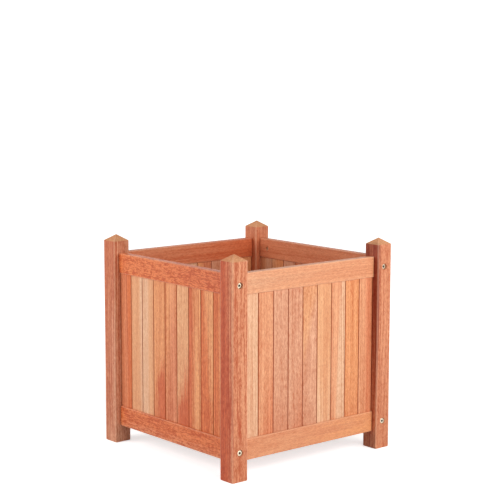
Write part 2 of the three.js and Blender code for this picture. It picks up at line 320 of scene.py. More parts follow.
def angles(around: int) -> Array:
    """Angles round a ring, evenly spaced."""
    return np.arange(around) * 2 * np.pi / around


def lathe(rows: list[tuple[float, Union[Array, float]]], around: int) -> Array:
    """Rings turned about the first axis: (along, r cos a, r sin a).

    Args:
        rows: Each ring's place along the axis and its radius, which may change with the angle a.
        around: Points in each ring.

    Returns:
        (m, around, 3) rings.
    """
    along, radius = (np.array([np.broadcast_to(row[k], around) for row in rows]) for k in (0, 1))
    turn = angles(around)
    return np.stack([along, radius * np.cos(turn), radius * np.sin(turn)], axis=-1)


def turned(place: Place, profile: list[Pair], around: int, pole: float) -> Surface:
    """A turned solid, such as a stepped drill or a barrel nut, closed flat at both ends.

    Args:
        place: Its axis is along.
        profile: Places along the axis and radii, from one end to the other.
        around: Points in each ring.
        pole: Radius of the small ring that closes each end.

    Returns:
        The surface, in the planter's axes.
    """
    first, last = ((along, pole) for along, _ in (profile[0], profile[-1]))
    return skin(lathe([first, *profile, last], around)).at(place)


# ---- How a board was sawn ------------------------------------------------------------------------


class Tone(Enum):
    """A colour that this hardwood takes, as linear light."""

    CREAM = (0.90, 0.60, 0.40)
    HONEY = (0.89, 0.50, 0.275)
    PEACH = (0.86, 0.44, 0.25)
    ROSE = (0.79, 0.43, 0.28)
    AMBER = (0.90, 0.43, 0.20)
    SALMON = (0.79, 0.31, 0.16)
    BLUSH = (0.725, 0.31, 0.168)
    CLAY = (0.71, 0.285, 0.155)
    EMBER = (0.78, 0.23, 0.08)
    RUSSET = (0.71, 0.185, 0.07)
    SIENNA = (0.60, 0.19, 0.085)
    BRICK = (0.61, 0.13, 0.045)
    # The darkest tone: dark red heartwood, with painted shade in it.
    MAHOGANY = (0.36, 0.08, 0.04)


class Cut(Enum):
    """How a board lay in its log: the angle from its width to the pith, in degrees."""

    RIFT = 42
    FLAT = 86


@dataclass(frozen=True)
class Figure:
    """How one board looks before any light falls on it; on a few boards it holds painted shade too.

    Args:
        tone: The heartwood's colour.
        second: The colour that it changes to across the board.
        lean: Which way the change goes, along, across and through the board, and how sharply.
        turn_at: Where on that way the two meet; 0 is the board's middle.
        mottle: Strength of the short, cloudy patches; 1 is strong.
        streak: Strength of the long streaks; 1 is strong.
        burst: (along, across, size) of a dark burst in the grain, as shares of the half length, the
            half width and the half width again, or None.
        cut: How it lay in its log.
        taper: How far the pith runs off the board's own line, for each unit of length.
    """

    tone: Tone
    second: Union[Tone, None] = None
    lean: Colour = (0.0, 3.0, 0.0)
    turn_at: float = 0.0
    mottle: float = 0.3
    streak: float = 0.5
    burst: Union[Colour, None] = None
    cut: Cut = Cut.RIFT
    taper: float = 0.008


class Attributes:
    """The names that a board's attributes go by."""

    GRAIN = "grain"
    BURST = "burst"
    HEART = "heartwood"
    SECOND = "second_tone"
    DRIFT = "drift"
    MOTTLE = "mottle"
    STREAK = "streak"
    # eased edges in the open: lighter, for wear with a painted highlight
    EASED = "eased"
    # dark in the slats' joints and the bolts' sockets: oil and dust, with painted shade
    GRIME = "grime"
    END = "end_grain"


class Seed:
    """Where each kind of board starts in the seeds of the random draws."""

    POSTS = 11
    RAILS = 31
    LEDGERS = 51
    FLOOR = 60
    SLATS = 100
    PANEL = 20  # from one panel's slats to the next panel's


ATTRIBUTE_KINDS = {"FLOAT": ("value", 1), "FLOAT_VECTOR": ("vector", 3), "FLOAT_COLOR": ("color", 4)}
FAR = 9.0  # a board with no burst, or no second tone, lies this far from one
BURST_SHAPE = np.array([2.2, 1.0, 4.0])  # along, across and through the board, in burst sizes


@dataclass
class Timber:
    """One board: its surface, its place and its figure.

    Args:
        name: The piece's name.
        surface: Its surface in its own axes.
        place: Its axes in the planter.
        half: Its half length, half width and half thickness.
        figure: How it looks.
        seed: Picks the part of the log that it was sawn from.
        jointed: Whether its eased edges lie in joints, where oil and dust gather and painted shade darkens
            them, and not in the open.
    """

    name: str
    surface: Surface
    place: Place
    half: Colour
    figure: Figure
    seed: int
    jointed: bool = False

    def build(
        self, material: bpy.types.Material, cutters: Union[list[Surface], None] = None
    ) -> bpy.types.Object:
        """Makes the board, carves its holes and writes its attributes.

        Args:
            material: Its finish.
            cutters: Solids to take away, in the planter's axes.

        Returns:
            The finished object.
        """
        piece = object_from(self.name, self.surface.at(self.place))
        # A jointed board's eased edges take grime and painted shade; the others take wear and a painted
        # highlight.
        edges = Attributes.GRIME if self.jointed else Attributes.EASED
        put(piece.data, "FLOAT", edges, self.surface.eased)
        put(piece.data, "FLOAT", Attributes.END, self.surface.end)
        if cutters:
            carve(piece, cutters)
        self._write_figure(piece.data)
        dress(piece, material)
        return piece

    def _write_figure(self, mesh: bpy.types.Mesh) -> None:
        """Writes where each point lies in the log and in the figure; every value is linear in place.

        Args:
            mesh: The board's mesh.
        """
        figure = self.figure
        own = self.place.to_own(points_of(mesh))
        random = np.random.default_rng(self.seed)
        pith = random.uniform(0.04, 0.10)
        direction = math.radians(figure.cut.value + random.uniform(-8, 8))
        away = np.array([0.0, math.cos(direction), math.sin(direction)])
        shift = away * pith + np.array([random.uniform(-4, 4), 0.0, 0.0])
        put(mesh, "FLOAT_VECTOR", Attributes.GRAIN, own + shift + own[:, :1] * away * figure.taper)

        drift = own / np.array(self.half) @ np.array(figure.lean) - figure.turn_at
        put(mesh, "FLOAT", Attributes.DRIFT, drift if figure.second else -FAR)
        put(mesh, "FLOAT_COLOR", Attributes.HEART, (*figure.tone.value, 1.0))
        put(mesh, "FLOAT_COLOR", Attributes.SECOND, (*(figure.second or figure.tone).value, 1.0))
        put(mesh, "FLOAT", Attributes.MOTTLE, figure.mottle)
        put(mesh, "FLOAT", Attributes.STREAK, figure.streak)

        offset = np.full_like(own, FAR)
        if figure.burst:
            along, across, size = figure.burst
            centre = np.array([along * self.half[0], across * self.half[1], 0.0])
            offset = (own - centre) / (BURST_SHAPE * size * self.half[1])
        put(mesh, "FLOAT_VECTOR", Attributes.BURST, offset)


def put(mesh: bpy.types.Mesh, kind: str, name: str, values: Union[Array, Colour, float]) -> None:
    """Writes an attribute on a mesh's points.

    Args:
        mesh: The mesh.
        kind: FLOAT, FLOAT_VECTOR or FLOAT_COLOR.
        name: The attribute's name.
        values: A value for each point, or one for them all.
    """
    entry, width = ATTRIBUTE_KINDS[kind]
    rows = np.asarray(values, np.float32).reshape(-1, width)
    rows = np.ascontiguousarray(np.broadcast_to(rows, (len(mesh.vertices), width)))
    mesh.attributes.new(name, kind, "POINT").data.foreach_set(entry, rows.ravel())


def points_of(mesh: bpy.types.Mesh) -> Array:
    """Where a mesh's points are.

    Args:
        mesh: The mesh.

    Returns:
        (n, 3) places.
    """
    flat = np.empty(len(mesh.vertices) * 3, np.float32)
    mesh.vertices.foreach_get("co", flat)
    return flat.reshape(-1, 3).astype(float)


def object_from(name: str, surface: Surface) -> bpy.types.Object:
    """Makes an object at the origin from a surface in the planter's axes.

    Args:
        name: Its name.
        surface: Its points and faces.

    Returns:
        The object.
    """
    mesh = bpy.data.meshes.new(name)
    mesh.from_pydata(surface.points.tolist(), [], surface.faces)
    piece = bpy.data.objects.new(name, mesh)
    bpy.context.scene.collection.objects.link(piece)
    return piece


def dress(piece: bpy.types.Object, material: bpy.types.Material) -> None:
    """Gives a piece its material and smooths what isn't a sharp edge.

    Args:
        piece: The piece.
        material: Its finish.
    """
    piece.data.materials.clear()
    piece.data.materials.append(material)
    piece.data.shade_smooth()
    piece.data.set_sharp_from_angle(angle=SHARP_ANGLE)


def carve(piece: bpy.types.Object, cutters: list[Surface]) -> None:
    """Takes the cutters away from a piece, as exact booleans that are applied at once.

    Args:
        piece: The piece.
        cutters: Closed surfaces, in the planter's axes.
    """
    tools = []
    for number, cutter in enumerate(cutters):
        tool = object_from(f"{piece.name}_cutter_{number}", cutter)
        boolean = piece.modifiers.new(f"cut_{number}", "BOOLEAN")
        boolean.operation = "DIFFERENCE"
        boolean.solver = "EXACT"
        boolean.object = tool
        tools.append(tool)
    bpy.context.view_layer.update()
    finished = bpy.data.meshes.new_from_object(piece.evaluated_get(bpy.context.evaluated_depsgraph_get()))
    piece.modifiers.clear()
    plain, piece.data = piece.data, finished
    finished.name = piece.name
    bpy.data.meshes.remove(plain)
    for tool in tools:
        mesh = tool.data
        bpy.data.objects.remove(tool)
        bpy.data.meshes.remove(mesh)


# ---- Shader maths --------------------------------------------------------------------------------

Value = Union["Wire", float]


class Wire:
    """A shader socket that can be added, multiplied and so on, with numbers or other wires."""

    def __init__(self, net: "Net", socket: bpy.types.NodeSocket) -> None:
        """Wraps one socket of a net."""
        self.net = net
        self.socket = socket

    @property
    def is_vector(self) -> bool:
        """Whether it carries three numbers."""
        return self.socket.type in ("VECTOR", "RGBA")

    def _with(self, operation: str, first: Value, second: Value) -> "Wire":
        """Adds a Math or Vector Math node for one operation.

        Args:
            operation: The node's operation.
            first: The left side.
            second: The right side.

        Returns:
            The result.
        """
        vectors = [value for value in (first, second) if isinstance(value, Wire) and value.is_vector]
        kind = "ShaderNodeVectorMath" if vectors else "ShaderNodeMath"
        sockets = {0: first, 1: second}
        if operation == "MULTIPLY" and len(vectors) == 1 and not isinstance(second, tuple):
            operation = "SCALE"
            sockets = {0: vectors[0], "Scale": second if vectors[0] is first else first}
        return self.net.node(kind, {"operation": operation}, sockets)

    def __add__(self, other: Value) -> "Wire":
        """The sum."""
        return self._with("ADD", self, other)

    def __sub__(self, other: Value) -> "Wire":
        """The difference."""
        return self._with("SUBTRACT", self, other)

    def __rsub__(self, other: Value) -> "Wire":
        """The difference, taken from the other."""
        return self._with("SUBTRACT", other, self)

    def __mul__(self, other: Value) -> "Wire":
        """The product."""
        return self._with("MULTIPLY", self, other)

    __radd__ = __add__
    __rmul__ = __mul__

    def clamped(self) -> "Wire":
        """The number, held between 0 and 1."""
        return self.net.node("ShaderNodeMath", {"operation": "ADD", "use_clamp": True}, {0: self, 1: 0.0})

    def smooth(self, low: float, high: float) -> "Wire":
        """0 below low, 1 above high and a smooth step between."""
        sockets = {"Value": self, "From Min": low, "From Max": high}
        return self.net.node("ShaderNodeMapRange", {"interpolation_type": "SMOOTHSTEP"}, sockets)

    def length(self) -> "Wire":
        """The vector's length."""
        return self.net.node("ShaderNodeVectorMath", {"operation": "LENGTH"}, {0: self}, "Value")


class Net:
    """One material's or world's nodes."""

    def __init__(self, owner: Union[bpy.types.Material, bpy.types.World]) -> None:
        """Empties the owner's node tree.

        Args:
            owner: The material or world.
        """
        owner.use_nodes = True
        self.tree = owner.node_tree
        self.tree.nodes.clear()

    def node(
        self,
        kind: str,
        settings: dict[str, object],
        sockets: dict[Union[int, str], object],
        output: Union[int, str] = 0,
    ) -> Wire:
        """Adds any node.

        Args:
            kind: The node's type.
            settings: Its properties, set first.
            sockets: Values or wires for its inputs, by name or number.
            output: The output that is wanted.

        Returns:
            That output, or the first input of a node that has none.
        """
        made = self.tree.nodes.new(kind)
        for name, value in settings.items():
            setattr(made, name, value)
        for name, value in sockets.items():
            socket = made.inputs[name]
            if isinstance(value, Wire):
                self.tree.links.new(value.socket, socket)
            else:
                socket.default_value = value
        return Wire(self, made.outputs[output] if len(made.outputs) else made.inputs[0])

    def attribute(self, name: str, output: str = "Fac") -> Wire:
        """What a mesh attribute says at each point."""
        return self.node("ShaderNodeAttribute", {"attribute_name": name}, {}, output)

    def place(self) -> Wire:
        """Where each point lies in the planter."""
        return self.node("ShaderNodeTexCoord", {}, {}, "Object")

    def noise(self, at: Wire, scale: Colour, detail: float = 2.0, roughness: float = 0.5) -> Wire:
        """Cloudy noise about 0, mostly between -0.7 and 0.7.

        Args:
            at: Where it is read.
            scale: Features to the metre, on each axis.
            detail: How many finer layers it has.
            roughness: How strong those are.

        Returns:
            The noise.
        """
        sockets = {"Vector": at * scale, "Scale": 1.0, "Detail": detail, "Roughness": roughness}
        return (self.node("ShaderNodeTexNoise", {}, sockets) - 0.5) * 3.0

    def mix(self, share: Value, first: object, second: object, blend: str = "MIX") -> Wire:
        """Mixes two colours.

        Args:
            share: How much of the second.
            first: The first colour.
            second: The second colour.
            blend: The way they are mixed.

        Returns:
            The colour.
        """
        colours = {6: first, 7: second}
        opaque = {k: (*v, 1.0) if isinstance(v, tuple) else v for k, v in colours.items()}
        settings = {"data_type": "RGBA", "blend_type": blend}
        return self.node("ShaderNodeMix", settings, {0: share, **opaque}, 2)

    def seen(self) -> Wire:
        """1 for what the camera sees directly, in gloss or through glass, and 0 for light on the planter.

        Returns:
            The flag.
        """
        kinds = ("Is Camera Ray", "Is Glossy Ray", "Is Transmission Ray")
        camera, gloss, clear = (self.node("ShaderNodeLightPath", {}, {}, kind) for kind in kinds)
        return (camera + gloss + clear).clamped()

    def surface(self, shader: Wire, kind: str = "ShaderNodeOutputMaterial") -> None:
        """Ends the tree in its output."""
        self.node(kind, {}, {"Surface": shader})

    def finish(self, height: Wire, relief: float, strength: float, sockets: dict[str, object]) -> None:
        """Ends the tree in a Principled shader under a bump.

        Args:
            height: The bump's height.
            relief: How deep a height of 1 is.
            strength: The bump's strength.
            sockets: The shader's own sockets.
        """
        bump = {"Strength": strength, "Distance": relief, "Height": height}
        sockets = {"Normal": self.node("ShaderNodeBump", {}, bump), **sockets}
        self.surface(self.node("ShaderNodeBsdfPrincipled", {}, sockets))


# ---- Finishes ------------------------------------------------------------------------------------


@dataclass(frozen=True)
class OiledHardwood:
    """Planed hardwood under a thin coat of oil, read from the attributes of its board.

    Args:
        name: The material's name.
        depth: How much darker the dense wood is than the board's tone, in red, green and blue.
        glow: How much lighter the open wood is.
        tint: A last tint over the wood, such as the dulling of unoiled boards.
        end_tone: What sawn ends turn towards.
        pore_tone: What shows in pores and vessels.
        worn_tone: What eased edges turn towards where they are open to wear: wear, with a painted
            highlight.
        grime_tone: What they turn towards in the joints: oil and dust, with painted shade.
        sheen_roughness: Roughness of the oiled surface.
        relief: Depth of the grain.
    """

    name: str
    depth: Colour = (0.66, 0.36, 0.24)
    glow: Colour = (1.02, 1.02, 0.97)
    tint: Colour = (1.0, 1.0, 1.0)
    end_tone: Colour = (0.88, 0.49, 0.23)
    pore_tone: Colour = (0.26, 0.06, 0.026)
    worn_tone: Colour = (0.97, 0.62, 0.42)
    grime_tone: Colour = (0.30, 0.04, 0.008)
    sheen_roughness: float = 0.48
    relief: float = 0.16 * MM

    def build(self) -> bpy.types.Material:
        """Makes the material.

        Returns:
            The material.
        """
        material = bpy.data.materials.new(self.name)
        net = Net(material)
        grain = net.attribute(Attributes.GRAIN, "Vector")
        mottle = net.attribute(Attributes.MOTTLE)
        streak = net.attribute(Attributes.STREAK)
        end = net.attribute(Attributes.END)
        grime = net.attribute(Attributes.GRIME)

        # The grain wanders slowly along the board, and swirls round a burst, which has ragged edges.
        wander = net.noise(grain, (1.5, 7.0, 7.0), 1.0)
        swirl = net.noise(grain, (24.0, 40.0, 40.0), 1.0)
        ragged = net.noise(grain, (22.0, 190.0, 190.0), 2.0, 0.6)
        far = net.attribute(Attributes.BURST, "Vector").length()
        burst = 1 - (far + ragged * 0.75).smooth(0.1, 1.0)
        sway = wander * 0.006 + burst * swirl * 0.004
        bent = grain + net.node("ShaderNodeCombineXYZ", {}, {"Y": sway, "Z": sway})

        # Growth rings lie at one radius from the pith. The other layers run long with the grain.
        radius = (bent * (0.0, 1.0, 1.0)).length()
        rings = net.noise(net.node("ShaderNodeCombineXYZ", {}, {"X": radius}), (210.0, 0, 0), 4.0, 0.6)
        broad = net.noise(bent, (1.2, 45.0, 45.0))
        streaks = net.noise(bent, (2.4, 270.0, 270.0), 3.0, 0.6)
        fibres = net.noise(bent, (25.0, 1900.0, 1900.0))
        clouds = net.noise(bent, (60.0, 170.0, 170.0), 2.0, 0.6)
        curl = net.noise(bent, (90.0, 45.0, 45.0), 1.0)
        flecks = net.noise(bent, (130.0, 420.0, 420.0), 2.0, 0.6)
        pores = net.noise(bent, (170.0, 3600.0, 3600.0), 1.0).smooth(0.30, 0.60)
        vessels = net.noise(bent, (110.0, 1500.0, 1500.0), 1.0).smooth(0.24, 0.66)

        light = (
            0.50
            + rings * (streak * 0.30 + 0.08)
            + broad * 0.22
            + streaks * (streak * 0.50 + 0.05)
            + fibres * 0.24
            + clouds * mottle * 0.38
            + curl * mottle * 0.14
            + flecks * (mottle * 0.44 + 0.20)
            - burst * (clouds * 0.40 + streaks * 0.6 + 0.15)
        ).clamped()
        drift = (
            net.attribute(Attributes.DRIFT)
            + broad * 0.7
            + streaks * (streak * 0.7 + 0.3)
            + burst * 1.4
        )
        heart, second = (net.attribute(name, "Color") for name in (Attributes.HEART, Attributes.SECOND))
        tone = net.mix(drift.smooth(-0.9, 0.9), heart, second)
        colour = net.mix(1.0, tone, net.mix(light, self.depth, self.glow), "MULTIPLY")
        colour = net.mix(1.0, colour, self.tint, "MULTIPLY")
        # Sawn ends turn paler and pores darker. Eased edges in the open turn lighter, for wear with a
        # painted highlight; in the joints they turn darker, for oil and dust with painted shade.
        for share, towards in (
            (end * 0.45, self.end_tone),
            (pores * 0.30 + vessels * 0.34, self.pore_tone),
            (net.attribute(Attributes.EASED) * 0.18, self.worn_tone),
            (grime * 0.58, self.grime_tone),
        ):
            colour = net.mix(share, colour, towards)

        roughness = self.sheen_roughness + clouds * 0.05 - light * 0.10 + end * 0.18 + grime * 0.35
        sockets = {"Base Color": colour, "Roughness": roughness, "Specular IOR Level": 0.28}
        height = fibres * 0.2 + streaks * 0.25 + broad * 0.4 - pores * 0.9 - vessels * 0.6
        net.finish(height, self.relief, 0.5, sockets)
        return material


@dataclass(frozen=True)
class PlatedSteel:
    """Steel under zinc with a faint yellow passivation, lightly cloudy.

    Args:
        name: The material's name.
        bright: Colour of the clean plate.
        dull: Colour where it has clouded.
        grime: Colour of the painted shade in its sockets.
        relief: Depth of its scratches.
    """

    name: str
    bright: Colour = (0.80, 0.72, 0.56)
    dull: Colour = (0.56, 0.47, 0.32)
    grime: Colour = (0.035, 0.022, 0.014)
    relief: float = 0.03 * MM

    def build(self) -> bpy.types.Material:
        """Makes the material.

        Returns:
            The material.
        """
        material = bpy.data.materials.new(self.name)
        net = Net(material)
        at = net.place()
        grime = net.attribute(Attributes.GRIME)
        clouds = net.noise(at, (420.0, 420.0, 420.0), 3.0, 0.6)
        scratches = net.noise(at, (3000.0, 900.0, 3000.0))
        plate = net.mix(clouds.smooth(-0.3, 0.6), self.bright, self.dull)
        # The sockets are painted dark and less metallic: painted shade.
        sockets = {
            "Base Color": net.mix(grime * 0.92, plate, self.grime),
            "Metallic": 1 - grime * 0.8,
            "Roughness": 0.32 + clouds * 0.07 + grime * 0.3,
        }
        net.finish(scratches + clouds, self.relief, 0.3, sockets)
        return material


@dataclass(frozen=True)
class StudioWhite:
    """The floor: matt, with a soft shadow near the planter, and white to the camera further off.

    Args:
        name: The material's name.
        colour: Its colour in the lamps' light.
        near: How much of the camera's white shows beside the planter.
        fade: Distances from the middle between which it turns all white.
    """

    name: str = "studio_white"
    colour: Colour = (0.80, 0.80, 0.80)
    near: float = 0.66
    fade: Pair = (0.45, 1.5)

    def build(self) -> bpy.types.Material:
        """Makes the material.

        Returns:
            The material.
        """
        material = bpy.data.materials.new(self.name)
        net = Net(material)
        white = self.near + net.place().length().smooth(*self.fade) * (1 - self.near)
        paper = net.node("ShaderNodeBsdfDiffuse", {}, {"Color": (*self.colour, 1.0)})
        glow = net.node("ShaderNodeEmission", {}, {"Strength": net.seen() * white})
        net.surface(net.node("ShaderNodeAddShader", {}, {0: paper, 1: glow}))
        return material


@dataclass
class Finishes:
    """The materials, made once."""

    outside: bpy.types.Material
    floor: bpy.types.Material
    steel: bpy.types.Material

    @classmethod
    def make(cls) -> "Finishes":
        """Makes them all.

        Returns:
            The finishes.
        """
        return cls(
            OiledHardwood("oiled_hardwood").build(),
            OiledHardwood("dull_hardwood", sheen_roughness=0.6, tint=(0.80, 0.76, 0.74)).build(),
            PlatedSteel("plated_steel").build(),
        )


# ---- The planter ---------------------------------------------------------------------------------


class Side(Enum):
    """A panel, by the way to its right as seen from outside."""

    FRONT = (1, 0, 0)
    RIGHT = (0, 1, 0)
    BACK = (-1, 0, 0)
    LEFT = (0, -1, 0)

    @property
    def word(self) -> str:
        """Its name in the frame."""
        return self.name.lower()

    @property
    def right(self) -> Array:
        """The way to its right."""
        return np.array(self.value, float)

    @property
    def out(self) -> Array:
        """The way out."""
        return np.cross(self.right, UP)


@dataclass(frozen=True)
class Span:
    """A node's box at rest, as arrays."""

    low: Array
    high: Array

    @classmethod
    def of(cls, node: str) -> "Span":
        """Reads it off the frame."""
        return cls(*(np.array(corner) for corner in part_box(node)))

    @property
    def centre(self) -> Array:
        """Its middle."""
        return (self.low + self.high) / 2

    def along(self, axis: Array) -> float:
        """Its size along a unit axis."""
        return float(abs((self.high - self.low) @ axis))


@dataclass(frozen=True)
class Layout:
    """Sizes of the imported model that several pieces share.

    Args:
        face: From the middle of the planter to the outer faces of the posts.
        post: A post's width.
        between: Half the clear width between two posts.
        plane: From the middle to the middle of a panel.
        rail: A rail's thickness.
        slat: A slat's thickness.
    """

    face: float
    post: float
    between: float
    plane: float
    rail: float
    slat: float

    @classmethod
    def read(cls) -> "Layout":
        """Reads them off the frame.

        Returns:
            The sizes.
        """
        post, rail, slat = (Span.of(n) for n in ("post_front_right", "rail_left_top", "slat_front_1"))
        return cls(
            face=float(post.high[0]),
            post=post.along(Side.FRONT.right),
            between=float(post.low[0]),
            plane=float(abs(slat.centre[1])),
            rail=rail.along(Side.LEFT.out),
            slat=slat.along(Side.FRONT.out),
        )


LAYOUT = Layout.read()


def settle(piece: bpy.types.Object, slot: str, *nodes: str) -> None:
    """Rides a piece on the planter and hides the nodes that it stands for.

    Args:
        piece: The piece.
        slot: Not used.
        nodes: The nodes.
    """
    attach(piece, BODY)
    if nodes:
        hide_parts(*nodes)
    log.info("%s: %d faces", piece.name, len(piece.data.polygons))


@dataclass
class BoltHoles:
    """Where the bolts run: through the posts along Y and into the ends of the side rails.

    A bolt goes by its end, side and level, such as front_left_top.

    Args:
        counterbore: Radius of the counterbore.
        flare: How far its mouth is eased.
        hole: Radius of the hole for the shank.
        fit: Clearance behind the head and round the nut.
        past_tip: How far the hole runs on past the tip.
        nut_inset: From the rail's end to the nut's axis.
        nut: Radius of the nut.
        nut_length: Length of the nut.
        head: Height of the bolt's head.
        steps: Points round each hole.
    """

    counterbore: float = 7.5 * MM
    flare: float = 0.35 * MM
    hole: float = 3.5 * MM
    fit: float = 0.3 * MM
    past_tip: float = 0.5 * MM
    nut_inset: float = 30 * MM
    nut: float = 5 * MM
    nut_length: float = 12 * MM
    head: float = 4 * MM
    steps: int = 48

    def run(self, name: str) -> tuple[Place, float, float]:
        """A bolt's own axes, from the post's face inwards, and how deep its head and its tip lie.

        Args:
            name: The bolt.

        Returns:
            The place, the depth of the head's face and the depth of the tip.
        """
        span = Span.of(f"bolt_{name}")
        x, y, z = span.centre
        inward = -math.copysign(1.0, y)
        origin = (math.copysign(LAYOUT.plane, x), -inward * LAYOUT.face, z)
        recess, tip = sorted(float(LAYOUT.face - abs(edge)) for edge in (span.low[1], span.high[1]))
        return Place.on(origin, (0, inward, 0), (inward, 0, 0)), recess, tip

    def nut_place(self, name: str) -> Place:
        """A nut's own axes: along it, towards the inside of the planter, and up.

        Args:
            name: The bolt.

        Returns:
            The place.
        """
        bolt = self.run(name)[0]
        out = Side[name.split("_")[1].upper()].out
        reach = LAYOUT.post + self.fit + self.nut_inset
        return Place.on(bolt.origin + bolt.axes[0] * reach, -out, UP)

    def in_post(self, name: str) -> Surface:
        """The stepped hole that a bolt takes through its post.

        Args:
            name: The bolt.

        Returns:
            The drill.
        """
        place, recess, _ = self.run(name)
        seat = recess + self.head + self.fit
        profile = [
            (-OVERCUT, self.counterbore + self.flare + OVERCUT),
            (self.flare, self.counterbore),
            (seat, self.counterbore),
            (seat, self.hole),
            (LAYOUT.post + OVERCUT, self.hole),
        ]
        return turned(place, profile, self.steps, POLE * self.hole)

    def in_rail(self, name: str) -> list[Surface]:
        """The hole up a rail's end for a bolt, and its nut's blind hole across it, from inside.

        Args:
            name: The bolt.

        Returns:
            The two drills.
        """
        place, _, tip = self.run(name)
        radius, mouth = self.nut + self.fit, LAYOUT.rail / 2
        up_the_end = [(LAYOUT.post - OVERCUT, self.hole), (tip + self.past_tip, self.hole)]
        across = [
            (-self.nut_length / 2 - self.fit, radius),
            (mouth - self.flare, radius),
            (mouth + OVERCUT, radius + self.flare + OVERCUT),
        ]
        holes = ((place, up_the_end, self.hole), (self.nut_place(name), across, radius))
        return [turned(axes, profile, self.steps, POLE * size) for axes, profile, size in holes]


@dataclass
class PanelRails:
    """The eight rails, grooved for the slats, and the ledgers on the side ones.

    Args:
        arris: Radius of the rails' edges.
        housing: Depth of the groove.
        fit: Clearance on each side of a slat and at each shoulder.
        tenon_thickness: The tenons'.
        tenon_shoulder: Wood left above and below each tenon.
        steps: Segments in each of the rails' edges.
        ledger_width: The ledgers'.
        ledger_height: The ledgers'.
        ledger_arris: Radius of the ledgers' edges.
        ledger_steps: Segments in each of them.
    """

    arris: float = 2 * MM
    housing: float = 10 * MM
    fit: float = 0.3 * MM
    tenon_thickness: float = 9 * MM
    tenon_shoulder: float = 6 * MM
    steps: int = 5
    ledger_width: float = 20 * MM
    ledger_height: float = 18 * MM
    ledger_arris: float = 1.5 * MM
    ledger_steps: int = 3

    FIGURES = {
        (Side.FRONT, "top"): Figure(
            Tone.CREAM, Tone.PEACH, lean=(0.6, 0.0, 0.0), turn_at=-0.6, mottle=0.2, streak=0.3
        ),
        (Side.FRONT, "bottom"): Figure(
            Tone.PEACH, Tone.AMBER, lean=(0.8, 0.0, 0.0), turn_at=0.4, mottle=0.2, streak=0.3,
            cut=Cut.FLAT, taper=0.05,
        ),
        (Side.LEFT, "top"): Figure(
            Tone.EMBER, Tone.RUSSET, lean=(1.0, 0.0, 0.0), turn_at=0.5, mottle=2.4, streak=0.8
        ),
        (Side.LEFT, "bottom"): Figure(
            Tone.EMBER, Tone.SALMON, lean=(0.0, -1.6, 0.0), turn_at=1.0, mottle=1.8, streak=1.4,
            cut=Cut.FLAT, taper=0.04,
        ),
        (Side.RIGHT, "top"): Figure(Tone.SALMON, streak=0.4),
        (Side.RIGHT, "bottom"): Figure(Tone.AMBER),
        (Side.BACK, "top"): Figure(
            Tone.RUSSET, Tone.SALMON, lean=(1.0, 0.0, 0.0), mottle=0.4, streak=0.4
        ),
        (Side.BACK, "bottom"): Figure(Tone.SALMON, mottle=0.2, streak=0.6),
    }

    @property
    def half_length(self) -> float:
        """Half a rail's length between its shoulders."""
        return LAYOUT.between - self.fit

    def tenon(self, side: str, level: str) -> Span:
        """The box of both tenons of a front or back rail, right through the rail.

        Args:
            side: front or back.
            level: top or bottom.

        Returns:
            The box.
        """
        rail = Span.of(f"rail_{side}_{level}")
        low, high = rail.low.copy(), rail.high.copy()
        low[1] = rail.centre[1] - self.tenon_thickness / 2
        high[1] = rail.centre[1] + self.tenon_thickness / 2
        low[2] += self.tenon_shoulder + (self.housing if level == "top" else 0)
        high[2] -= self.tenon_shoulder + (self.housing if level == "bottom" else 0)
        return Span(low, high)

    def surface(self, side: Side, level: str, rail: Span) -> Surface:
        """A rail in its own axes: a bar with a groove in its lower or upper edge, and any tenons.

        Args:
            side: The rail's panel.
            level: top or bottom; a top rail has its groove below.
            rail: The rail's box.

        Returns:
            The surface.
        """
        half = np.array([rail.along(UP), LAYOUT.rail]) / 2
        floor, groove = half[0] - self.housing, LAYOUT.slat / 2 + self.fit
        notch = {"left": (-floor, groove)} if level == "top" else {"right": (floor, groove)}
        tenon = None
        if side in (Side.FRONT, Side.BACK):
            box = self.tenon(side.word, level)
            heights = np.array([box.low[2], box.high[2]]) - rail.centre[2]
            low, high = zip(heights, (-self.tenon_thickness / 2, self.tenon_thickness / 2))
            tenon = Tenon(box.along(side.right) / 2, np.array(low), np.array(high))
        return bar(self.half_length, half, self.arris, self.steps, tenon, **notch)

    def build(self, finishes: Finishes, holes: BoltHoles) -> None:
        """Makes the eight rails and the two ledgers.

        Args:
            finishes: The materials.
            holes: Where the bolts run.
        """
        for seed, ((side, level), figure) in enumerate(self.FIGURES.items(), start=Seed.RAILS):
            rail = Span.of(f"rail_{side.word}_{level}")
            place = Place.on(side.out * LAYOUT.plane + UP * rail.centre[2], side.right, UP)
            half = (self.half_length, rail.along(UP) / 2, LAYOUT.rail / 2)
            ends = ("front", "back") if side in (Side.LEFT, Side.RIGHT) else ()
            cutters = [cut for end in ends for cut in holes.in_rail(f"{end}_{side.word}_{level}")]
            made = self.surface(side, level, rail)
            timber = Timber(f"{side.word}_{level}_rail", made, place, half, figure, seed)
            settle(timber.build(finishes.outside, cutters), "rail_wood", f"rail_{side.word}_{level}")
        for side in (Side.LEFT, Side.RIGHT):
            self._ledger(side, finishes)

    def _ledger(self, side: Side, finishes: Finishes) -> None:
        """Makes the strip under the floor boards, against a side rail.

        Args:
            side: The rail's panel.
            finishes: The materials.
        """
        inside = LAYOUT.plane - LAYOUT.rail / 2 - self.ledger_width / 2
        height = Span.of(f"rail_{side.word}_bottom").low[2] + self.ledger_height / 2
        place = Place.on(side.out * inside + UP * height, side.right, UP)
        half = np.array([self.ledger_height, self.ledger_width - self.fit]) / 2
        made = bar(self.half_length, half, self.ledger_arris, self.ledger_steps)
        figure, size = Figure(Tone.CLAY, streak=0.6), (self.half_length, *half)
        timber = Timber(f"{side.word}_ledger", made, place, size, figure, Seed.LEDGERS)
        settle(timber.build(finishes.floor), "rail_wood")


